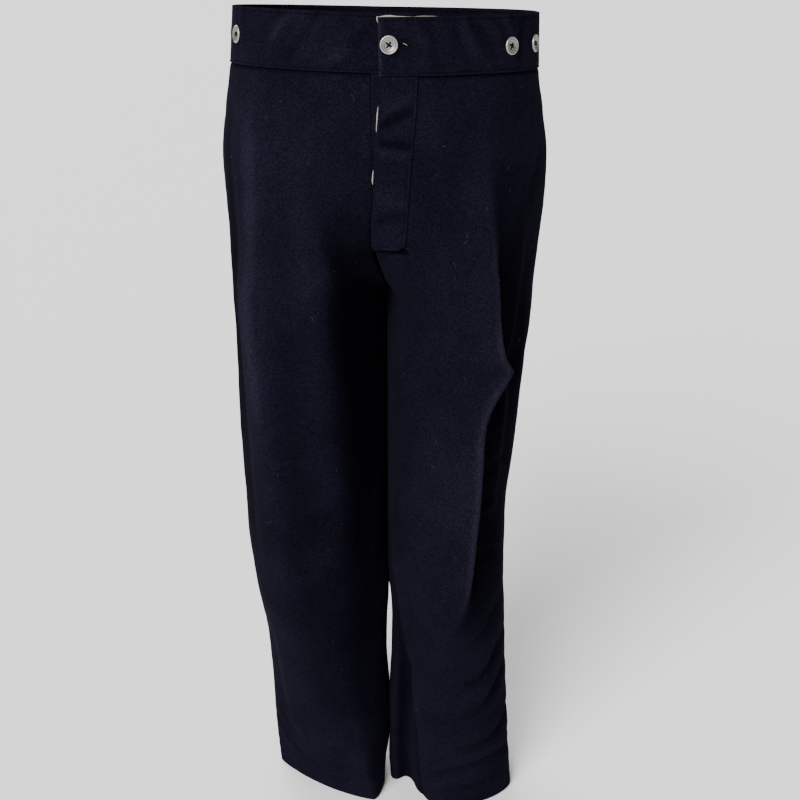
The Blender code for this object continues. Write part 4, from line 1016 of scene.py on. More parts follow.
def panel_extra(part):
    """Seams beside a panel: the outseam, and the inseam or the seam of the seat."""
    def extra(wall):
        out = seam_relief(wall.z, wall.from_first)
        joined = seam_relief(wall.z, wall.from_last)
        if part == "front":
            joined = joined * ease((-FLAP_BOTTOM - FLY_SEAM_BELOW - wall.z) / FLY_SEAM_FADE)
        out = out - swell_at(wall.from_top, SEAM_GROOVE, TUCKED, SEAM_GROOVE_WIDTH)
        # the groove under the fly strip's foot, which the seam shading also paints as shade
        if part == "front" and wall.side == "left":
            inward = from_edge("left", -FLAP_BOTTOM, wall.place)
            start, start_fade = FOOT_GROOVE_START
            past, past_fade = FOOT_GROOVE_END
            under = ease((inward - start) / start_fade)
            under = under * ease((FLAP_WIDTH_BOTTOM + past - inward) / past_fade)
            below = -FLAP_BOTTOM - FOOT_GROOVE_BELOW
            out = out - under * swell_at(wall.z, FOOT_GROOVE, below, FOOT_GROOVE_WIDTH)
        blind = -swell_at(wall.z, BLIND_HEM_SINK, HEM_Z + TURN_UP, BLIND_HEM_WIDTH)
        return out + np.clip(joined, -1, SEAM_MOST) + blind
    return extra


def allowance(side, part, edge):
    """The seam allowance of a panel, pressed open inside along one of its edges."""
    rows = [z for z in leg_rows() if z > HEM_Z + ALLOWANCE_ABOVE_HEM]
    if edge == "inner":
        rows = [z for z in rows if part == "back" or z < -FLAP_BOTTOM - ALLOWANCE_BELOW_FLY]
    which = PARTS.index(part)
    inward = np.linspace(JOIN, ALLOWANCE, ALLOWANCE_COLUMNS)
    places = []
    for z in rows:
        place = inward if edge == "outer" else widths(side, z)[which] - inward
        places.append(place if part == "front" else -place)
    level = -CLOTH - ALLOWANCE_SEAT

    def past_turn_up(wall):
        return -TURN_UP_CLOTH * ease((HEM_Z + TURN_UP + TURN_UP_ABOVE - wall.z) / TURN_UP_OVER)

    return Wall(side, rows, places, level, ALLOWANCE_CLOTH, extra=past_turn_up,
                rounding=ALLOWANCE_ROUNDING, ends=(0, 1, 1, 1))


def finished(piece, node_name):
    """Hides the imported solid that a piece stands for, and gives the piece back."""
    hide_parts(node_name)
    return piece


def make_panel(side, part, finish):
    """A front or back panel, with its allowances inside and its hem turned up."""
    rows = leg_rows()
    places = [panel_row(side, part, z) for z in rows]
    main = Wall(side, rows, places, 0.0, hem_thickness, extra=panel_extra(part), rounding=PANEL_ROUNDING)
    walls = [main, allowance(side, part, "outer"), allowance(side, part, "inner")]
    piece = finished(cloth_piece(f"{side}_{part}_cloth", walls, finish), f"{side}_{part}")
    which = PARTS.index(part)
    cuts = np.array([widths(side, z)[which] for z in rows])
    area = cut_area(rows, cuts)
    long = float(rows[0] - rows[-1]) + TURN_UP + ALLOWANCE
    area += 2 * ALLOWANCE * (long - TURN_UP) + TURN_UP * float(cuts[-1])


# Waistband's relief, as height, middle and reach: its two rows of stitching, its pucker, its puffed lower
# edge, and the seam at its centre back
BAND_LOW_STITCHES = (0.00055, 0.0026, 0.0008)
BAND_HIGH_STITCHES = (0.00040, 0.0034, 0.0009)
BAND_PUCKER = (0.00016, 0.004, 0.004)
BAND_PUCKER_CELL = 0.006
BAND_PUFF = (0.0005, 0.0008, 0.0014)
BAND_BACK_SEAM = (0.0006, 0.0, 0.0011)
OVERLAP_CURL_REACH = 0.0045
# Painted shade and highlight: how many times the band's folds and creases count in the wool's tone
BAND_SHADING_GAIN = 2.0
BAND_ROUNDING = 0.0012
BAND_ROWS = 15
BAND_EDGE = 0.007
BAND_STEPS = (
    0.0, 0.0002, 0.0005, 0.0009, 0.0013, 0.0018, 0.0022, 0.0026, 0.0030, 0.0034, 0.0039, 0.0046,
)


def band_row(side, z, past_middle):
    """Places of the waistband's columns at a height, from the front round to the centre back."""
    front_width, back_width = widths(side, z)
    return with_edges(-back_width, front_width + past_middle, BAND_COLUMNS)[::-1]


def band_extra(wall):
    """The waistband's stitching, its pucker and puffed edge, and the curl of the overlap."""
    low = wall.from_bottom
    sunk = -swell_at(low, *BAND_LOW_STITCHES) - swell_at(wall.from_top, *BAND_HIGH_STITCHES)
    pucker = value_noise(wall.place, wall.z * 0.3, BAND_PUCKER_CELL, 31) * swell_at(low, *BAND_PUCKER)
    puff = swell_at(low, *BAND_PUFF)
    if wall.side == "left":
        puff = puff + swell_at(wall.from_first, OVERLAP_CURL, 0.0, OVERLAP_CURL_REACH)
    return sunk + pucker + puff - swell_at(wall.from_last, *BAND_BACK_SEAM)


def make_band(side, finish):
    """One half of the waistband."""
    past_middle = BAND_UNDERLAP if side == "right" else 0.0
    steps = np.array(BAND_STEPS)
    middle = np.linspace(-BAND_EDGE, SEAM_Z + BAND_EDGE, BAND_ROWS)
    rows = np.concatenate([-steps, middle, SEAM_Z + steps[::-1]])
    places = [band_row(side, z, past_middle) for z in rows]
    wall = Wall(side, rows, places, BAND_PROUD, BAND_THICKNESS, extra=band_extra,
                rounding=BAND_ROUNDING, ends=(1, 0, 1, 1), tone=BAND_SHADING_GAIN)
    piece = finished(cloth_piece(f"waistband_{side}_cloth", [wall], finish), f"waistband_{side}")


def make_lining(side, finish):
    """The lining of one half of the waistband, whose edge rides up in front on the wearer's left."""
    past_middle = BAND_UNDERLAP if side == "right" else 0.0
    level = BAND_PROUD - BAND_THICKNESS - SEAM_GAP
    down = np.concatenate([[0, 0.004, 0.01, 0.02], np.linspace(0.05, 0.95, 12), [0.98, 0.99, 0.996, 1.0]])
    rows = (SEAM_Z + LINING_ABOVE_SEAM) * down - LINING_BELOW_RIM * (1 - down)
    places = [band_row(side, z, past_middle) for z in rows]
    if side == "left":
        for z, row in zip(rows, places):
            row[:3] += LINING_PEEK * ease((z + LINING_PEEK_ROWS) / LINING_PEEK_FADE)
    wall = Wall(side, rows, places, level, LINING, rounding=THIN_ROUNDING, ends=(1, 0, 1, 1))
    shown_to = wall.place[:, :1] - LINING_SHOWS_TO - LINING_LOWER_FADE
    behind = ease((shown_to - wall.place) / LINING_LOWER_FADE)
    lowered = LINING_LOWER_BEHIND * behind * (1 - down)[:, None]
    wall.outer[..., 2] -= lowered
    wall.inner[..., 2] -= lowered
    if side == "left":
        along = (wall.place[:, :1] - wall.place) / (LINING_EDGE_REACH * LINING_SHOWS_TO)
        from_front = ease(LINING_EDGE_FULL * (1 - along))
        ripple = 1 + LINING_RIPPLE * value_noise(wall.place, wall.z * 0, LINING_RIPPLE_CELL, 91)
        raise_by = LINING_RIDES_UP * from_front * (1 - down)[:, None] * ripple
        wall.outer[..., 2] += raise_by
        wall.inner[..., 2] += raise_by
    piece = cloth_piece(f"lining_{side}_cloth", [wall], finish)
    finished(piece, f"waistband_lining_{side}")


def flap_edge_distance(z):
    """Distance of the flap's stitched side from its free edge, rounded in at the bottom corner."""
    top, bottom = SEAM_Z - SEAM_GAP, -FLAP_BOTTOM
    down = (top - z) / (top - bottom)
    width = FLAP_WIDTH_TOP + (FLAP_WIDTH_BOTTOM - FLAP_WIDTH_TOP) * down
    into = min(max((bottom + FLAP_CORNER - z) / FLAP_CORNER, 0.0), 1.0)
    return width - FLAP_CORNER * (1 - math.sqrt(1 - into ** 2))


# Fly strip's creases: height at the free edge and at the stitched side, reach, and height of each
FLAP_CREASES = (
    (-0.108, -0.088, 0.0060, -0.0016), (-0.096, -0.076, 0.0050, 0.0008), (-0.124, -0.128, 0.0042, -0.0013),
    (-0.133, -0.137, 0.0050, 0.0009), (-0.176, -0.192, 0.0070, 0.0007), (-0.205, -0.196, 0.0060, -0.0008),
)
FLAP_SIDE_STITCHES = (0.00042, 0.0030, 0.0010)
FLAP_FOOT_STITCHES = (0.00042, 0.0032, 0.0010)
FLAP_FOOT_CURL = (0.0005, 0.0, 0.010)
FLAP_SIDE_CURL = (0.0002, 0.0, 0.004)
FLAP_LIP = (0.0004, 0.0, 0.0011)
FLAP_ROWS = 60
FLAP_COLUMNS = 17
FLAP_CORNER_ROWS = 22
FLAP_CORNER_TURN = math.radians(87)


def flap_extra(wall):
    """The stitching draws the strip's side and foot in, and the strip swells a little between."""
    from_side = wall.from_last
    drawn = -swell_at(from_side, *FLAP_SIDE_STITCHES)
    foot = -swell_at(wall.from_bottom, *FLAP_FOOT_STITCHES)
    curl = swell_at(wall.from_bottom, *FLAP_FOOT_CURL) + swell_at(from_side, *FLAP_SIDE_CURL)
    across = wall.from_first / FLAP_WIDTH_TOP
    worn = sum(
        swell_at(wall.z, high, z_first + (z_last - z_first) * across, reach)
        for z_first, z_last, reach, high in FLAP_CREASES
    )
    lip = swell_at(wall.from_first, *FLAP_LIP)
    return drawn + foot + curl + lip + worn * ease(4 * across) * ease(4 * (1 - across))


def make_flap(finish):
    """The stitched fly strip on the wearer's left front."""
    bottom = -FLAP_BOTTOM
    top = SEAM_Z - SEAM_GAP
    steps = np.array(EDGE_STEPS)
    straight = np.linspace(top - EDGE_BAND, bottom + FLAP_CORNER, FLAP_ROWS, endpoint=False)
    corner = bottom + FLAP_CORNER * (1 - np.sin(np.linspace(0, FLAP_CORNER_TURN, FLAP_CORNER_ROWS)))
    rows = np.concatenate([top - steps, straight, corner])
    places = []
    for z in rows:
        width = flap_edge_distance(z)
        middle = np.linspace(EDGE_BAND, width - EDGE_BAND, FLAP_COLUMNS)
        places.append(widths("left", z)[0] - np.concatenate([steps, middle, width - steps[::-1]]))
    wall = Wall("left", rows, places, FLAP_SEAT + FLAP, FLAP, extra=flap_extra, rounding=STRIP_ROUNDING)
    piece = finished(cloth_piece("fly_flap_cloth", [wall], finish), "fly_flap")


FACING_ROWS = 70
FACING_COLUMNS = 8
FACING_EDGE_STEPS = (0, .0002, .0006)
FACING_FIRST_COLUMN = 0.002
FACING_FRAY = 0.00025
FACING_FRAY_CELL = 0.006


def make_facing(finish):
    """The pale facing under the fly's free edge, which peeps out in two places."""
    rows = np.linspace(SEAM_Z - LINING_ABOVE_SEAM, -FACING_BOTTOM, FACING_ROWS)
    places = []
    for z in rows:
        peek = sum(math.exp(-(((z - middle) / reach) ** 4)) for middle, reach in FACING_PEEKS)
        start = FACING_INSET - (FACING_PEEK + FACING_INSET) * peek
        start += FACING_FRAY * float(value_noise(z, 0.0, FACING_FRAY_CELL, 5)) * peek
        edge = start + np.array(FACING_EDGE_STEPS)
        inward = np.linspace(start + FACING_FIRST_COLUMN, FACING_WIDTH, FACING_COLUMNS)
        places.append(widths("left", z)[0] - np.concatenate([edge, inward]))
    wall = Wall("left", rows, places, -CLOTH - FACING_SEAT, FACING, rounding=THIN_ROUNDING)
    piece = finished(cloth_piece("fly_facing_cloth", [wall], finish), "fly_facing")


STAND_ROWS = 44
STAND_COLUMNS = 12


def make_stand(finish):
    """The button stand sewn under the wearer's right front edge."""
    top, bottom = SEAM_Z - SEAM_GAP, -STAND_BOTTOM
    rows = with_edges(bottom, top, STAND_ROWS)[::-1]
    places = []
    for z in rows:
        inner = stand_edge(z) - SEAM_GAP
        last = inner - min(EDGE_BAND, 0.45 * (inner + 0.002))
        middle = np.linspace(-STAND_UNDERLAP + EDGE_BAND, last, STAND_COLUMNS)
        steps = np.array(EDGE_STEPS[:4])
        across = np.concatenate([-STAND_UNDERLAP + steps, middle, inner - steps[::-1] * 0.4])
        places.append(widths("right", z)[0] - across)
    wall = Wall("right", rows, places, STAND_PROUD, STAND, rounding=STRIP_ROUNDING)
    piece = finished(cloth_piece("fly_stand_cloth", [wall], finish), "fly_stand")


def on_cloth(side, places, heights, level):
    """Points on the visible cloth at a level over its folds, and the directions out of it."""
    places, heights = np.asarray(places, float), np.asarray(heights, float)
    points, outward = np.zeros((len(places), 3)), np.zeros((len(places), 3))
    for z in np.unique(heights):
        at = heights == z
        here, out = rail(side, float(z), places[at])
        height = relief(side, places[at][None, :], np.full((1, int(at.sum())), z))[0]
        points[at] = here + out * (level + height)[:, None]
        outward[at] = out
    return points, outward


def tube(points, radius, sides=6, taper=1.0):
    """Vertices and faces of a closed tube along points."""
    points = np.asarray(points, float)
    tangent = np.gradient(points, axis=0)
    tangent /= np.linalg.norm(tangent, axis=1)[:, None]
    guide = np.array((0.31, 0.22, 0.93))
    across = np.cross(tangent, guide)
    across /= np.linalg.norm(across, axis=1)[:, None]
    other = np.cross(tangent, across)
    radii = np.full(len(points), radius)
    radii[0] *= taper
    radii[-1] *= taper
    turn = 2 * math.pi * np.arange(sides) / sides
    ring_points = across[:, None] * np.cos(turn)[None, :, None] + other[:, None] * np.sin(turn)[None, :, None]
    vertices = (points[:, None] + ring_points * radii[:, None, None]).reshape(-1, 3)
    faces = []
    for r in range(len(points) - 1):
        for k in range(sides):
            n = (k + 1) % sides
            faces.append((r * sides + k, r * sides + n, (r + 1) * sides + n, (r + 1) * sides + k))
    faces.append(tuple(range(sides))[::-1])
    faces.append(tuple((len(points) - 1) * sides + k for k in range(sides)))
    return vertices, faces


def mesh_object(name, parts, finish):
    """One smooth object of several lots of vertices and faces."""
    vertices, faces, start = [], [], 0
    for v, f in parts:
        vertices.extend(map(tuple, v))
        faces.extend(tuple(i + start for i in face) for face in f)
        start += len(v)
    mesh = bpy.data.meshes.new(name)
    mesh.from_pydata(vertices, [], faces)
    mesh.shade_smooth()
    mesh.materials.append(finish)
    made = in_scene(name, mesh)
    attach(made, "root")
    return made


# Topstitching: length, gap and radius of a stitch, how it is bedded along its length, and its level
STITCH_LENGTH = 0.0027
STITCH_GAP = 0.0007
STITCH_RADIUS = 0.00024
STITCH_SHARES = (0.0, 0.12, 0.35, 0.65, 0.88, 1.0)
STITCH_BEDDING = (-0.00034, -0.00006, 0.0001, 0.0001, -0.00006, -0.00034)
STITCH_LEVEL = 0.00014
FLAP_STITCH_INSET = 0.0030


def stitch_row(side, places, heights, level):
    """Short threads along a line on the cloth, each bedded at its ends."""
    points, outward = on_cloth(side, places, heights, level)
    along = lengths_along(points)
    pitch = STITCH_LENGTH + STITCH_GAP
    sink = np.array(STITCH_BEDDING)
    parts = []
    for k in range(int(along[-1] / pitch)):
        at = k * pitch + np.array(STITCH_SHARES) * STITCH_LENGTH
        spot = np.stack([np.interp(at, along, points[:, i]) for i in range(3)], axis=1)
        out = np.stack([np.interp(at, along, outward[:, i]) for i in range(3)], axis=1)
        parts.append(tube(spot + out * sink[:, None], STITCH_RADIUS, taper=0.6))
    return parts


def make_stitches(finish):
    """Topstitching: both edges of the waistband, and the fly strip's side and foot."""
    parts = []
    for side, past in (("right", -0.0015), ("left", -0.002)):
        low, high = BAND_LOW_STITCHES, BAND_HIGH_STITCHES
        for z, sunk in ((SEAM_Z + low[1], low[0]), (-high[1], high[0])):
            front_width, back_width = widths(side, z)
            places = np.arange(front_width + past, -back_width + 0.002, -0.004)
            parts += stitch_row(side, places, np.full(len(places), z), BAND_PROUD - sunk + STITCH_LEVEL)
    mesh_object("waistband_stitches", parts, finish)
    heights = np.concatenate([
        np.linspace(SEAM_Z - 0.002, -FLAP_BOTTOM + FLAP_CORNER, 40, endpoint=False),
        -FLAP_BOTTOM + FLAP_CORNER * (1 - np.sin(np.linspace(0, math.radians(62), 12))),
    ])
    places = [widths("left", z)[0] - flap_edge_distance(z) + FLAP_STITCH_INSET for z in heights]
    foot_z = -FLAP_BOTTOM + FLAP_STITCH_INSET
    foot = np.linspace(places[-1] + 0.002, widths("left", foot_z)[0] - 0.004, 10)
    places = np.concatenate([places, foot])
    heights = np.concatenate([heights, np.full(len(foot), foot_z)])
    level = FLAP_SEAT + FLAP - FLAP_SIDE_STITCHES[0] + STITCH_LEVEL
    mesh_object("fly_stitches", stitch_row("left", places, heights, level), finish)


# Worked buttonhole: its reach from the button's middle, its half width, and the threads over its lips
BUTTONHOLE_START = 0.003
BUTTONHOLE_END = 0.0152
BUTTONHOLE_REACH = 0.0019
BUTTONHOLE_PITCH = 0.00062
BUTTONHOLE_LIFT = (0.0000, 0.00042, 0.00038, -0.00012)
BUTTONHOLE_TURNS = (0.0002, 0.0008, 0.0014, 0.0020)
BUTTONHOLE_RADIUS = 0.00027
# The slit is a dark thread tube: painted shade for the opening between the buttonhole's lips
BUTTONHOLE_SLIT_RADIUS = 0.00042
BUTTONHOLE_SLIT_LEVEL = 0.00012
BUTTONHOLE_BAR_LEVEL = 0.00075


def buttonhole_thread(places, heights):
    """One thread that is carried over the buttonhole's lip."""
    points, outward = on_cloth("left", places, heights, BAND_PROUD)
    return tube(points + outward * np.array(BUTTONHOLE_LIFT)[:, None], BUTTONHOLE_RADIUS, sides=5)


def make_buttonhole(thread, pale):
    """The worked buttonhole that shows beside the waist button."""
    z = -WAIST_BUTTON_DROP
    edge = widths("left", z)[0]
    middle = edge - WAIST_BUTTON_FROM_EDGE
    start, end = middle - BUTTONHOLE_START, middle - BUTTONHOLE_END
    parts = []
    for reach in (BUTTONHOLE_REACH, -BUTTONHOLE_REACH):
        for place in np.arange(start, end, -BUTTONHOLE_PITCH):
            inner, outer = z + reach * 0.12, z + reach
            parts.append(buttonhole_thread([place] * 4, np.linspace(inner, outer, 4)))
    for turn in np.linspace(-80, 80, 9):
        a = math.radians(turn)
        places = [end - math.cos(a) * r for r in BUTTONHOLE_TURNS]
        heights = [z + math.sin(a) * r for r in BUTTONHOLE_TURNS]
        parts.append(buttonhole_thread(places, heights))
    mesh_object("buttonhole_thread", parts, thread)
    # painted shade: a dark tube along the slit
    places = np.linspace(start, end, 12)
    points, _ = on_cloth("left", places, np.full(12, z), BAND_PROUD + BUTTONHOLE_SLIT_LEVEL)
    mesh_object("buttonhole_slit_shade", [tube(points, BUTTONHOLE_SLIT_RADIUS)], thread)
    places = end - np.array((-0.0022, -0.0010, 0.0, 0.0011, 0.0018))
    heights = z + np.array((0.0013, 0.0009, 0.0006, -0.0002, -0.0012))
    points, _ = on_cloth("left", places, heights, BAND_PROUD + BUTTONHOLE_BAR_LEVEL)
    mesh_object("buttonhole_bar", [tube(points, BUTTONHOLE_SLIT_RADIUS, taper=0.5)], pale)


# Buttons in detail: the turned outline as shares of the radius and of the height, the dished floor's height,
# and the sewing thread
BUTTON_DETAIL_SIDES = 72
BUTTON_HOLE_DETAIL_SIDES = 20
BUTTON_FLOOR = 0.60
BUTTON_TWISTS = (8, -14, 6, 21, -9, 12, -18)
BUTTON_STRANDS = (-1.1, -0.4, 0.35, 1.05)
BUTTON_STRAND_APART = 0.00044
BUTTON_STRAND_RADIUS = 0.00032
BUTTON_STRAND_LINE = (
    (-1.08, -0.0009), (-1.0, -0.0002), (-0.8, 0.00042), (-0.35, 0.00062), (0.0, 0.00068), (0.35, 0.00062),
    (0.8, 0.00042), (1.0, -0.0002), (1.08, -0.0009),
)
BUTTON_STRAND_OVER = 0.00022
BUTTON_SHANK_RADIUS = 0.0021
BUTTON_SHANK_FOOT = -0.00048
BUTTON_SHANK_PITCH = 0.00015
BUTTON_SHANK_TURN = 2 * math.pi * 0.98
BUTTON_TURNED = (
    (0.0, 0.00), (0.70, 0.00), (0.86, 0.10), (0.96, 0.30), (1.00, 0.52), (0.995, 0.72), (0.965, 0.90),
    (0.915, 0.99), (0.875, 1.00), (0.835, 0.97), (0.800, 0.88), (0.770, 0.79), (0.730, 0.76), (0.690, 0.79),
    (0.655, 0.80), (0.620, 0.76), (0.580, 0.68), (0.520, 0.62), (0.40, 0.60), (0.20, 0.595), (0.0, 0.59),
)


def lathe(profile, sides):
    """A turned mesh of a profile of radii and heights."""
    shape = bmesh.new()
    loops = []
    for radius, height in profile:
        if radius == 0.0:
            loops.append([shape.verts.new((0.0, 0.0, height))] * sides)
        else:
            turns = [2 * math.pi * k / sides for k in range(sides)]
            loops.append([
                shape.verts.new((radius * math.cos(a), radius * math.sin(a), height)) for a in turns
            ])
    for low, high in zip(loops, loops[1:]):
        for k in range(sides):
            after = (k + 1) % sides
            shape.faces.new(list(dict.fromkeys([low[k], low[after], high[after], high[k]])))
    bmesh.ops.recalc_face_normals(shape, faces=shape.faces)
    mesh = bpy.data.meshes.new("turned")
    shape.to_mesh(mesh)
    shape.free()
    return mesh


def detailed_button(finish):
    """A pressed metal button: raised rim, fine inner ring, dished middle and four countersunk holes."""
    profile = [(r * BUTTON_RADIUS, h * BUTTON_HEIGHT) for r, h in BUTTON_TURNED]
    blank = in_scene("button_blank", lathe(profile, BUTTON_DETAIL_SIDES))
    floor = BUTTON_FLOOR * BUTTON_HEIGHT
    drill = [
        (0.0, -0.001), (BUTTON_HOLE_RADIUS, -0.001), (BUTTON_HOLE_RADIUS, floor - 0.0003),
        (BUTTON_HOLE_RADIUS * 1.12, floor - 0.0001), (BUTTON_HOLE_RADIUS * 1.38, floor + 0.00005),
        (BUTTON_HOLE_RADIUS * 1.45, floor + 0.001), (0.0, floor + 0.001),
    ]
    cutters = bmesh.new()
    for across in (-1, 1):
        for along in (-1, 1):
            mesh = lathe(drill, BUTTON_HOLE_DETAIL_SIDES)
            mesh.transform(Matrix.Translation((across * BUTTON_HOLE_SPREAD, along * BUTTON_HOLE_SPREAD, 0.0)))
            cutters.from_mesh(mesh)
    cutter_mesh = bpy.data.meshes.new("button_drill")
    cutters.to_mesh(cutter_mesh)
    cutters.free()
    cutter = in_scene("button_drill", cutter_mesh)
    cut = blank.modifiers.new("holes", "BOOLEAN")
    cut.object = cutter
    cut.operation = "DIFFERENCE"
    cut.solver = "EXACT"
    made = bpy.data.meshes.new_from_object(blank.evaluated_get(bpy.context.evaluated_depsgraph_get()))
    made.shade_smooth()
    made.set_sharp_from_angle(angle=math.radians(38))
    made.materials.clear()
    made.materials.append(finish)
    bpy.data.objects.remove(blank)
    bpy.data.objects.remove(cutter)
    return made


def button_thread_parts(seed):
    """Sewing thread of a button: two crossed bundles over its holes, and the shank under it."""
    random = np.random.default_rng(seed)
    floor = BUTTON_FLOOR * BUTTON_HEIGHT
    parts = []
    for turn in (45, 135):
        direction = np.array((math.cos(math.radians(turn)), math.sin(math.radians(turn)), 0.0))
        aside = np.array((-direction[1], direction[0], 0.0))
        reach = BUTTON_HOLE_SPREAD * math.sqrt(2)
        for strand in BUTTON_STRANDS:
            drift = random.uniform(-0.12, 0.12, 2) * 0.001
            offset = aside * strand * BUTTON_STRAND_APART
            line = []
            for share, lift in BUTTON_STRAND_LINE:
                swing = aside * (drift[0] * (1 - share) + drift[1] * (1 + share)) / 2
                height = floor + lift + (BUTTON_STRAND_OVER if turn == 135 and abs(share) < 0.5 else 0.0)
                line.append(direction * share * reach + offset + swing + np.array((0, 0, height)))
            parts.append(tube(line, BUTTON_STRAND_RADIUS))
    r = BUTTON_SHANK_RADIUS
    for k in range(4):
        height = BUTTON_SHANK_FOOT + BUTTON_SHANK_PITCH * k
        turns = np.linspace(0, BUTTON_SHANK_TURN, 18)
        circle = [(r * math.cos(a), r * math.sin(a), height) for a in turns]
        parts.append(tube(circle, BUTTON_STRAND_OVER, sides=5))
    return parts


def button_places():
    """Name, half, place and drop of every button."""
    place = float(from_edge("left", -WAIST_BUTTON_DROP, WAIST_BUTTON_FROM_EDGE))
    rows = [("waist_button", "left", place, WAIST_BUTTON_DROP), *BRACE_BUTTONS]
    for side in ("right", "left"):
        back = BACK_BUTTON_FROM_CENTRE - widths(side, -BACK_BUTTON_DROP)[1]
        rows.append((f"brace_button_{side}_back", side, back, BACK_BUTTON_DROP))
    return rows


def make_buttons(metal, thread):
    """Every button and the thread that it is sewn on with."""
    mesh = detailed_button(metal)
    for number, (name, side, place, drop) in enumerate(button_places()):
        here, outward = rail(side, -drop, [place])
        outward = Vector(outward[0])
        spot = Vector(here[0]) + outward * (BAND_PROUD + BUTTON_SEAT)
        across = Vector((0.0, 0.0, 1.0)).cross(outward).normalized()
        turn = Matrix((across, outward.cross(across), outward)).transposed().to_4x4()
        twist = Matrix.Rotation(math.radians(BUTTON_TWISTS[number]), 4, "Z")
        place_matrix = Matrix.Translation(spot) @ turn
        button = in_scene(f"{name}_metal", mesh)
        button.matrix_world = place_matrix @ twist
        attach(button, "root")
        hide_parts(name)
        sewn = mesh_object(f"{name}_thread", button_thread_parts(number + 3), thread)
        sewn.data.transform(place_matrix @ twist)


# Fluff: the larger pieces that show in front, as half, place, height, length and angle. Of the rest, how many
# there are, and their lengths with the share of each.
LINT_SEEN = (
    ("right", 0.212, -0.081, 0.0085, 118), ("right", 0.116, -0.105, 0.0050, 60),
    ("left", 0.215, -0.147, 0.0014, 20), ("left", 0.197, -0.165, 0.0018, 80),
    ("left", 0.162, -0.225, 0.0120, 110), ("right", 0.183, -0.312, 0.0070, 130),
    ("right", 0.108, -0.501, 0.0020, 40), ("right", 0.104, -0.573, 0.0080, 30),
    ("left", 0.221, -0.471, 0.0016, 10), ("left", 0.160, -0.380, 0.0060, 50),
    ("left", 0.175, -0.252, 0.0070, 75), ("right", 0.236, -0.256, 0.0018, 70),
)
LINT_COUNT = 260
LINT_LENGTHS = (0.0006, 0.0009, 0.0014, 0.0024, 0.0040)
LINT_SHARES = (0.40, 0.32, 0.17, 0.08, 0.03)
LINT_LEVEL = 0.00022
LINT_ENDS = [0, 2, 5]


def make_lint(finish):
    """Short pale fibres and specks caught on the fulled cloth."""
    random = np.random.default_rng(20)
    rows = list(LINT_SEEN)
    for _ in range(LINT_COUNT):
        side = "right" if random.random() < 0.5 else "left"
        z = random.uniform(-0.995, -0.065)
        front_width, back_width = widths(side, z)
        place = random.uniform(-back_width + 0.01, front_width - 0.045)
        length = random.choice(LINT_LENGTHS, p=LINT_SHARES)
        rows.append((side, place, z, length, random.uniform(0, 180)))
    parts = []
    for side, place, z, length, angle in rows:
        a = math.radians(angle)
        curl = random.uniform(-0.5, 0.5)
        share = np.linspace(-0.5, 0.5, 6)
        bend = curl * length * (0.25 - share ** 2) * 1.6
        places = place + share * length * math.cos(a) - bend * math.sin(a)
        heights = z + share * length * math.sin(a) + bend * math.cos(a)
        ends, _ = on_cloth(side, places[LINT_ENDS], heights[LINT_ENDS], LINT_LEVEL)
        known = share[LINT_ENDS]
        points = np.stack([np.interp(share, known, ends[:, i]) for i in range(3)], axis=1)
        points += np.outer(bend - np.interp(share, known, bend[LINT_ENDS]), (0.0, 0.0, math.cos(a)))
        thin = length > 0.0015
        radius = random.uniform(0.00009, 0.00014) if thin else random.uniform(0.00016, 0.00030)
        parts.append(tube(points, radius, sides=5, taper=0.4))
    mesh_object("lint", parts, finish)


def new_material(name):
    """A material, its node tree and its shader."""
    made = bpy.data.materials.new(name)
    made.use_nodes = True
    return made, made.node_tree, made.node_tree.nodes["Principled BSDF"]


def node(tree, kind, inputs, **settings):
    """A node with its inputs, each a value or a link, and its settings."""
    made = tree.nodes.new(kind)
    for name, value in settings.items():
        setattr(made, name, value)
    for name, value in inputs.items():
        if isinstance(value, bpy.types.NodeSocket):
            tree.links.new(value, made.inputs[name])
        else:
            made.inputs[name].default_value = value
    return made


def noise_node(tree, coordinates, scale, detail=2.0, roughness=0.5, distortion=0.0):
    """Random unevenness of that scale."""
    return node(tree, "ShaderNodeTexNoise", {
        "Vector": coordinates, "Scale": scale, "Detail": detail, "Roughness": roughness,
        "Distortion": distortion,
    })


def bump_node(tree, shader, height, strength, distance):
    """Fine relief from a height."""
    made = node(tree, "ShaderNodeBump", {"Height": height, "Strength": strength, "Distance": distance})
    tree.links.new(made.outputs["Normal"], shader.inputs["Normal"])


def ramp_node(tree, factor, stops):
    """Colours at places along a factor; a plain number stands for a grey."""
    stops = [(at, colour if isinstance(colour, tuple) else (colour,) * 3) for at, colour in stops]
    made = tree.nodes.new("ShaderNodeValToRGB")
    first, last = made.color_ramp.elements
    first.position, first.color = stops[0][0], (*stops[0][1], 1.0)
    last.position, last.color = stops[-1][0], (*stops[-1][1], 1.0)
    for position, colour in stops[1:-1]:
        middle = made.color_ramp.elements.new(position)
        middle.color = (*colour, 1.0)
    tree.links.new(factor, made.inputs["Fac"])
    return made


def mix_node(tree, kind, factor, one, two):
    """Two colours mixed; each may be a value or a link."""
    made = tree.nodes.new("ShaderNodeMix")
    made.data_type = "RGBA"
    made.blend_type = kind
    for socket, value in (("Factor", factor), ("A", one), ("B", two)):
        target = next(s for s in made.inputs if s.name == socket and s.enabled)
        if isinstance(value, bpy.types.NodeSocket):
            tree.links.new(value, target)
        elif isinstance(value, tuple):
            target.default_value = (*value, 1.0)
        else:
            target.default_value = value
    return next(s for s in made.outputs if s.enabled)


def multiplied(tree, one, two):
    """A tone multiplied by the colours of a ramp."""
    return mix_node(tree, "MULTIPLY", 1.0, one, two.outputs["Color"])


def maths(tree, kind, one, two):
    """A sum or product of two values or links."""
    made = node(tree, "ShaderNodeMath", {}, operation=kind)
    for socket, value in zip(made.inputs, (one, two)):
        if isinstance(value, bpy.types.NodeSocket):
            tree.links.new(value, socket)
        else:
            socket.default_value = value
    return made.outputs[0]
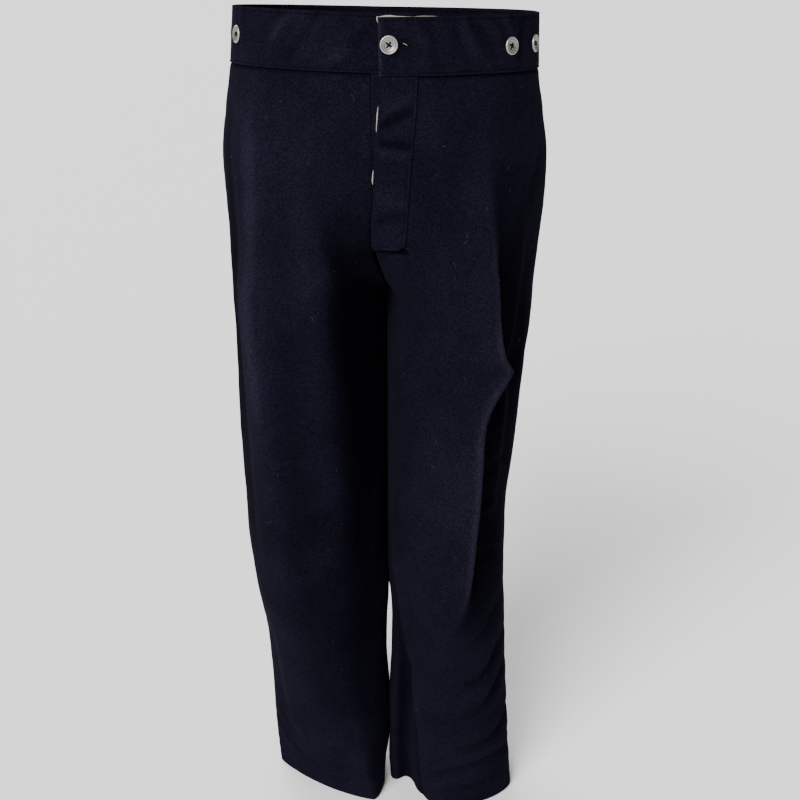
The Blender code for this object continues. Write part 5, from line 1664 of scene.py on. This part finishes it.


# Painted shade in the folds' hollows and painted highlight on their ridges: the wool's tone over its fold
# value
FOLD_LOWEST = -0.012
FOLD_HIGHEST = 0.009
FOLD_SHADING_TONES = (
    (0.0, 0.36), (0.34, 0.62), (0.571, 1.0), (0.80, (1.35, 1.34, 1.30)), (1.0, (2.5, 2.4, 2.15)),
)

# Slopes of the wool's twill and of its brushed nap, and how much longer the nap's streaks are than wide
TWILL_SLOPE = math.radians(63)
NAP_SLOPE = math.radians(34)
NAP_LENGTH = 2.4


def wool_material(name, dark, light):
    """Fulled wool: a felted nap over a faint twill, with specks of fibre, uneven dye, a soft sheen, and
    painted shade and highlight over its folds.
    """
    made, tree, shader = new_material(name)
    spots = tree.nodes.new("ShaderNodeTexCoord")
    here, cloth = spots.outputs["Object"], spots.outputs["UV"]
    nap = noise_node(tree, here, 1150.0, 3.0, 0.65, 0.3)
    felt = noise_node(tree, here, 560.0, 3.0, 0.7)
    dye = noise_node(tree, here, 16.0, 3.0, 0.55)
    slope = node(tree, "ShaderNodeMapping", {"Vector": cloth, "Rotation": (0.0, 0.0, TWILL_SLOPE)})
    twill = node(tree, "ShaderNodeTexWave", {
        "Vector": slope.outputs["Vector"], "Scale": 118.0, "Distortion": 3.0, "Detail": 2.0,
        "Detail Scale": 4.0,
    }, wave_type="BANDS", bands_direction="X")
    tone = ramp_node(tree, felt.outputs["Fac"], ((0.36, dark), (0.66, light)))
    drawn = node(tree, "ShaderNodeMapping", {
        "Vector": cloth, "Rotation": (0.0, 0.0, NAP_SLOPE), "Scale": (NAP_LENGTH, 1.0, 1.0),
    }, vector_type="TEXTURE")
    streaks = noise_node(tree, drawn.outputs["Vector"], 330.0, 2.0, 0.6)
    lay = ramp_node(tree, streaks.outputs["Fac"], ((0.34, 0.88), (0.66, (1.12, 1.12, 1.11))))
    tone = multiplied(tree, tone.outputs["Color"], lay)
    uneven = ramp_node(tree, dye.outputs["Fac"], ((0.32, (0.80, 0.80, 0.82)), (0.68, (1.14, 1.12, 1.14))))
    tone = multiplied(tree, tone, uneven)
    points = ramp_node(tree, nap.outputs["Fac"], ((0.36, 0.66), (0.64, (1.36, 1.36, 1.34))))
    tone = multiplied(tree, tone, points)
    # painted shade in hollows and painted highlight on ridges, from the fold value
    height = node(tree, "ShaderNodeAttribute", {}, attribute_name="fold")
    share = node(tree, "ShaderNodeMapRange", {
        "Value": height.outputs["Fac"], "From Min": FOLD_LOWEST, "From Max": FOLD_HIGHEST,
    })
    fold_shading = ramp_node(tree, share.outputs["Result"], FOLD_SHADING_TONES)
    tone = multiplied(tree, tone, fold_shading)
    fibre = noise_node(tree, here, 820.0, 2.0, 0.7, 1.4)
    flecks = ramp_node(tree, fibre.outputs["Fac"], ((0.60, 0.0), (0.80, 0.34)))
    tone = mix_node(tree, "MIX", flecks.outputs["Color"], tone, (0.016, 0.016, 0.030))
    tree.links.new(tone, shader.inputs["Base Color"])
    rough = ramp_node(tree, felt.outputs["Fac"], ((0.3, 0.80), (0.7, 0.96)))
    tree.links.new(rough.outputs["Color"], shader.inputs["Roughness"])
    shader.inputs["Specular IOR Level"].default_value = 0.004
    shader.inputs["Sheen Weight"].default_value = 0.011
    shader.inputs["Sheen Roughness"].default_value = 0.42
    shader.inputs["Sheen Tint"].default_value = (0.50, 0.52, 0.80, 1.0)
    height = maths(tree, "ADD", maths(tree, "MULTIPLY", nap.outputs["Fac"], 0.55),
                   maths(tree, "ADD", maths(tree, "MULTIPLY", felt.outputs["Fac"], 0.75),
                         maths(tree, "MULTIPLY", twill.outputs["Fac"], 0.22)))
    bump_node(tree, shader, height, 0.85, 0.00045)
    return made


def cotton_material():
    """Plain-woven pale cotton, a little soiled."""
    made, tree, shader = new_material("pale_cotton")
    spots = tree.nodes.new("ShaderNodeTexCoord")
    cloth = spots.outputs["UV"]
    weave = []
    for direction in ("X", "Y"):
        wave = node(tree, "ShaderNodeTexWave", {
            "Vector": cloth, "Scale": 340.0, "Distortion": 1.0, "Detail": 1.0,
        }, wave_type="BANDS", bands_direction=direction)
        weave.append(wave.outputs["Fac"])
    soil = noise_node(tree, spots.outputs["Object"], 60.0, 4.0, 0.6)
    fuzz = noise_node(tree, spots.outputs["Object"], 900.0, 2.0, 0.6)
    tone = ramp_node(tree, soil.outputs["Fac"], ((0.30, (0.20, 0.185, 0.16)), (0.70, (0.32, 0.30, 0.265))))
    tree.links.new(tone.outputs["Color"], shader.inputs["Base Color"])
    shader.inputs["Roughness"].default_value = 0.9
    shader.inputs["Specular IOR Level"].default_value = 0.2
    height = maths(tree, "ADD", maths(tree, "MULTIPLY", weave[0], weave[1]),
                   maths(tree, "MULTIPLY", fuzz.outputs["Fac"], 0.5))
    bump_node(tree, shader, height, 0.6, 0.00025)
    return made


def metal_material():
    """Dull pressed metal, tarnished in its hollows and rubbed pale on its rim."""
    made, tree, shader = new_material("pressed_metal")
    spots = tree.nodes.new("ShaderNodeTexCoord")
    tarnish = noise_node(tree, spots.outputs["Object"], 420.0, 4.0, 0.6)
    grain = noise_node(tree, spots.outputs["Object"], 2600.0, 2.0, 0.6)
    pointed = tree.nodes.new("ShaderNodeNewGeometry")
    tones = ((0.47, (0.15, 0.14, 0.13)), (0.52, (0.33, 0.32, 0.31)), (0.56, (0.46, 0.455, 0.45)))
    worn = ramp_node(tree, pointed.outputs["Pointiness"], tones)
    stain = ramp_node(tree, tarnish.outputs["Fac"], ((0.30, (0.74, 0.71, 0.67)), (0.62, 1.0)))
    tone = multiplied(tree, worn.outputs["Color"], stain)
    tree.links.new(tone, shader.inputs["Base Color"])
    rough = ramp_node(tree, tarnish.outputs["Fac"], ((0.3, 0.52), (0.7, 0.34)))
    tree.links.new(rough.outputs["Color"], shader.inputs["Roughness"])
    shader.inputs["Metallic"].default_value = 0.85
    bump_node(tree, shader, grain.outputs["Fac"], 0.25, 0.00008)
    return made


def thread_material(name, dark, light):
    """Twisted thread, with a lay of fine turns."""
    made, tree, shader = new_material(name)
    spots = tree.nodes.new("ShaderNodeTexCoord")
    twist = noise_node(tree, spots.outputs["Object"], 3200.0, 2.0, 0.6)
    tone = ramp_node(tree, twist.outputs["Fac"], ((0.35, dark), (0.68, light)))
    tree.links.new(tone.outputs["Color"], shader.inputs["Base Color"])
    shader.inputs["Roughness"].default_value = 0.72
    shader.inputs["Specular IOR Level"].default_value = 0.04
    bump_node(tree, shader, twist.outputs["Fac"], 0.5, 0.0001)
    return made


def plain_stage_material(colour):
    """Plain matt finish of the floor."""
    made, _, shader = new_material("pale_floor")
    shader.inputs["Base Color"].default_value = (*colour, 1.0)
    shader.inputs["Roughness"].default_value = 0.85
    return made


# Camera, floor and lights
PICTURE_SIZE = 800
CAMERA_FOCUS_PIXELS = 1144.0
CAMERA_PLACE = (0.0145, -1.3, 0.025)
CAMERA_DOWN = math.radians(20)
SENSOR_WIDTH = 36.0
FLOOR_Z = HEM_Z - 0.0012
FLOOR_TONE = 0.93
WORLD_STRENGTH = 0.24
FLOOR_HALF = 260.0
# Lights: name, where it comes from, strength, softness in degrees
LIGHTS = (
    ("key", (-0.68, -1.32, 0.95), 6.0, 32),
    ("behind", (-0.45, 1.0, 0.80), 2.8, 50),
)


def make_stage():
    """The camera, a plain pale floor and soft studio light."""
    camera = bpy.data.cameras.new("camera")
    camera.sensor_width = SENSOR_WIDTH
    camera.lens = camera.sensor_width * CAMERA_FOCUS_PIXELS / PICTURE_SIZE
    camera.clip_start, camera.clip_end = 0.01, 2000.0
    placed = in_scene("camera", camera)
    placed.location = CAMERA_PLACE
    placed.rotation_euler = (math.pi / 2 - CAMERA_DOWN, 0.0, 0.0)
    bpy.context.scene.camera = placed

    mesh = bpy.data.meshes.new("floor")
    r = FLOOR_HALF
    corners = [(-r, -r, FLOOR_Z), (r, -r, FLOOR_Z), (r, r, FLOOR_Z), (-r, r, FLOOR_Z)]
    mesh.from_pydata(corners, [], [(0, 1, 2, 3)])
    mesh.materials.append(plain_stage_material((FLOOR_TONE,) * 3))
    floor = in_scene("floor", mesh)

    world = bpy.data.worlds.new("studio")
    world.use_nodes = True
    background = world.node_tree.nodes["Background"]
    background.inputs["Color"].default_value = (1.0, 1.0, 1.0, 1.0)
    background.inputs["Strength"].default_value = WORLD_STRENGTH
    bpy.context.scene.world = world
    for name, comes_from, strength, softness in LIGHTS:
        sun = bpy.data.lights.new(name, "SUN")
        sun.energy = strength
        sun.angle = math.radians(softness)
        light = in_scene(name, sun)
        light.rotation_euler = Vector(comes_from).to_track_quat("Z", "Y").to_euler()


def main():
    """Everything that shows."""
    make_stage()
    wool = wool_material("navy_wool", WOOL_DARK, WOOL_LIGHT)
    cotton = cotton_material()
    metal = metal_material()
    dark_thread = thread_material("dark_thread", (0.0007, 0.0007, 0.0012), (0.0030, 0.0029, 0.0052))
    pale_thread = thread_material("pale_thread", (0.13, 0.125, 0.12), (0.24, 0.235, 0.22))
    lint_finish = thread_material("pale_fibre", (0.030, 0.030, 0.034), (0.100, 0.100, 0.105))
    for side in ("right", "left"):
        make_band(side, wool)
        make_lining(side, cotton)
        for part in PARTS:
            make_panel(side, part, wool)
    make_flap(wool)
    make_facing(cotton)
    make_stand(wool)
    make_stitches(dark_thread)
    make_buttonhole(dark_thread, pale_thread)
    make_buttons(metal, dark_thread)
    make_lint(lint_finish)


main()
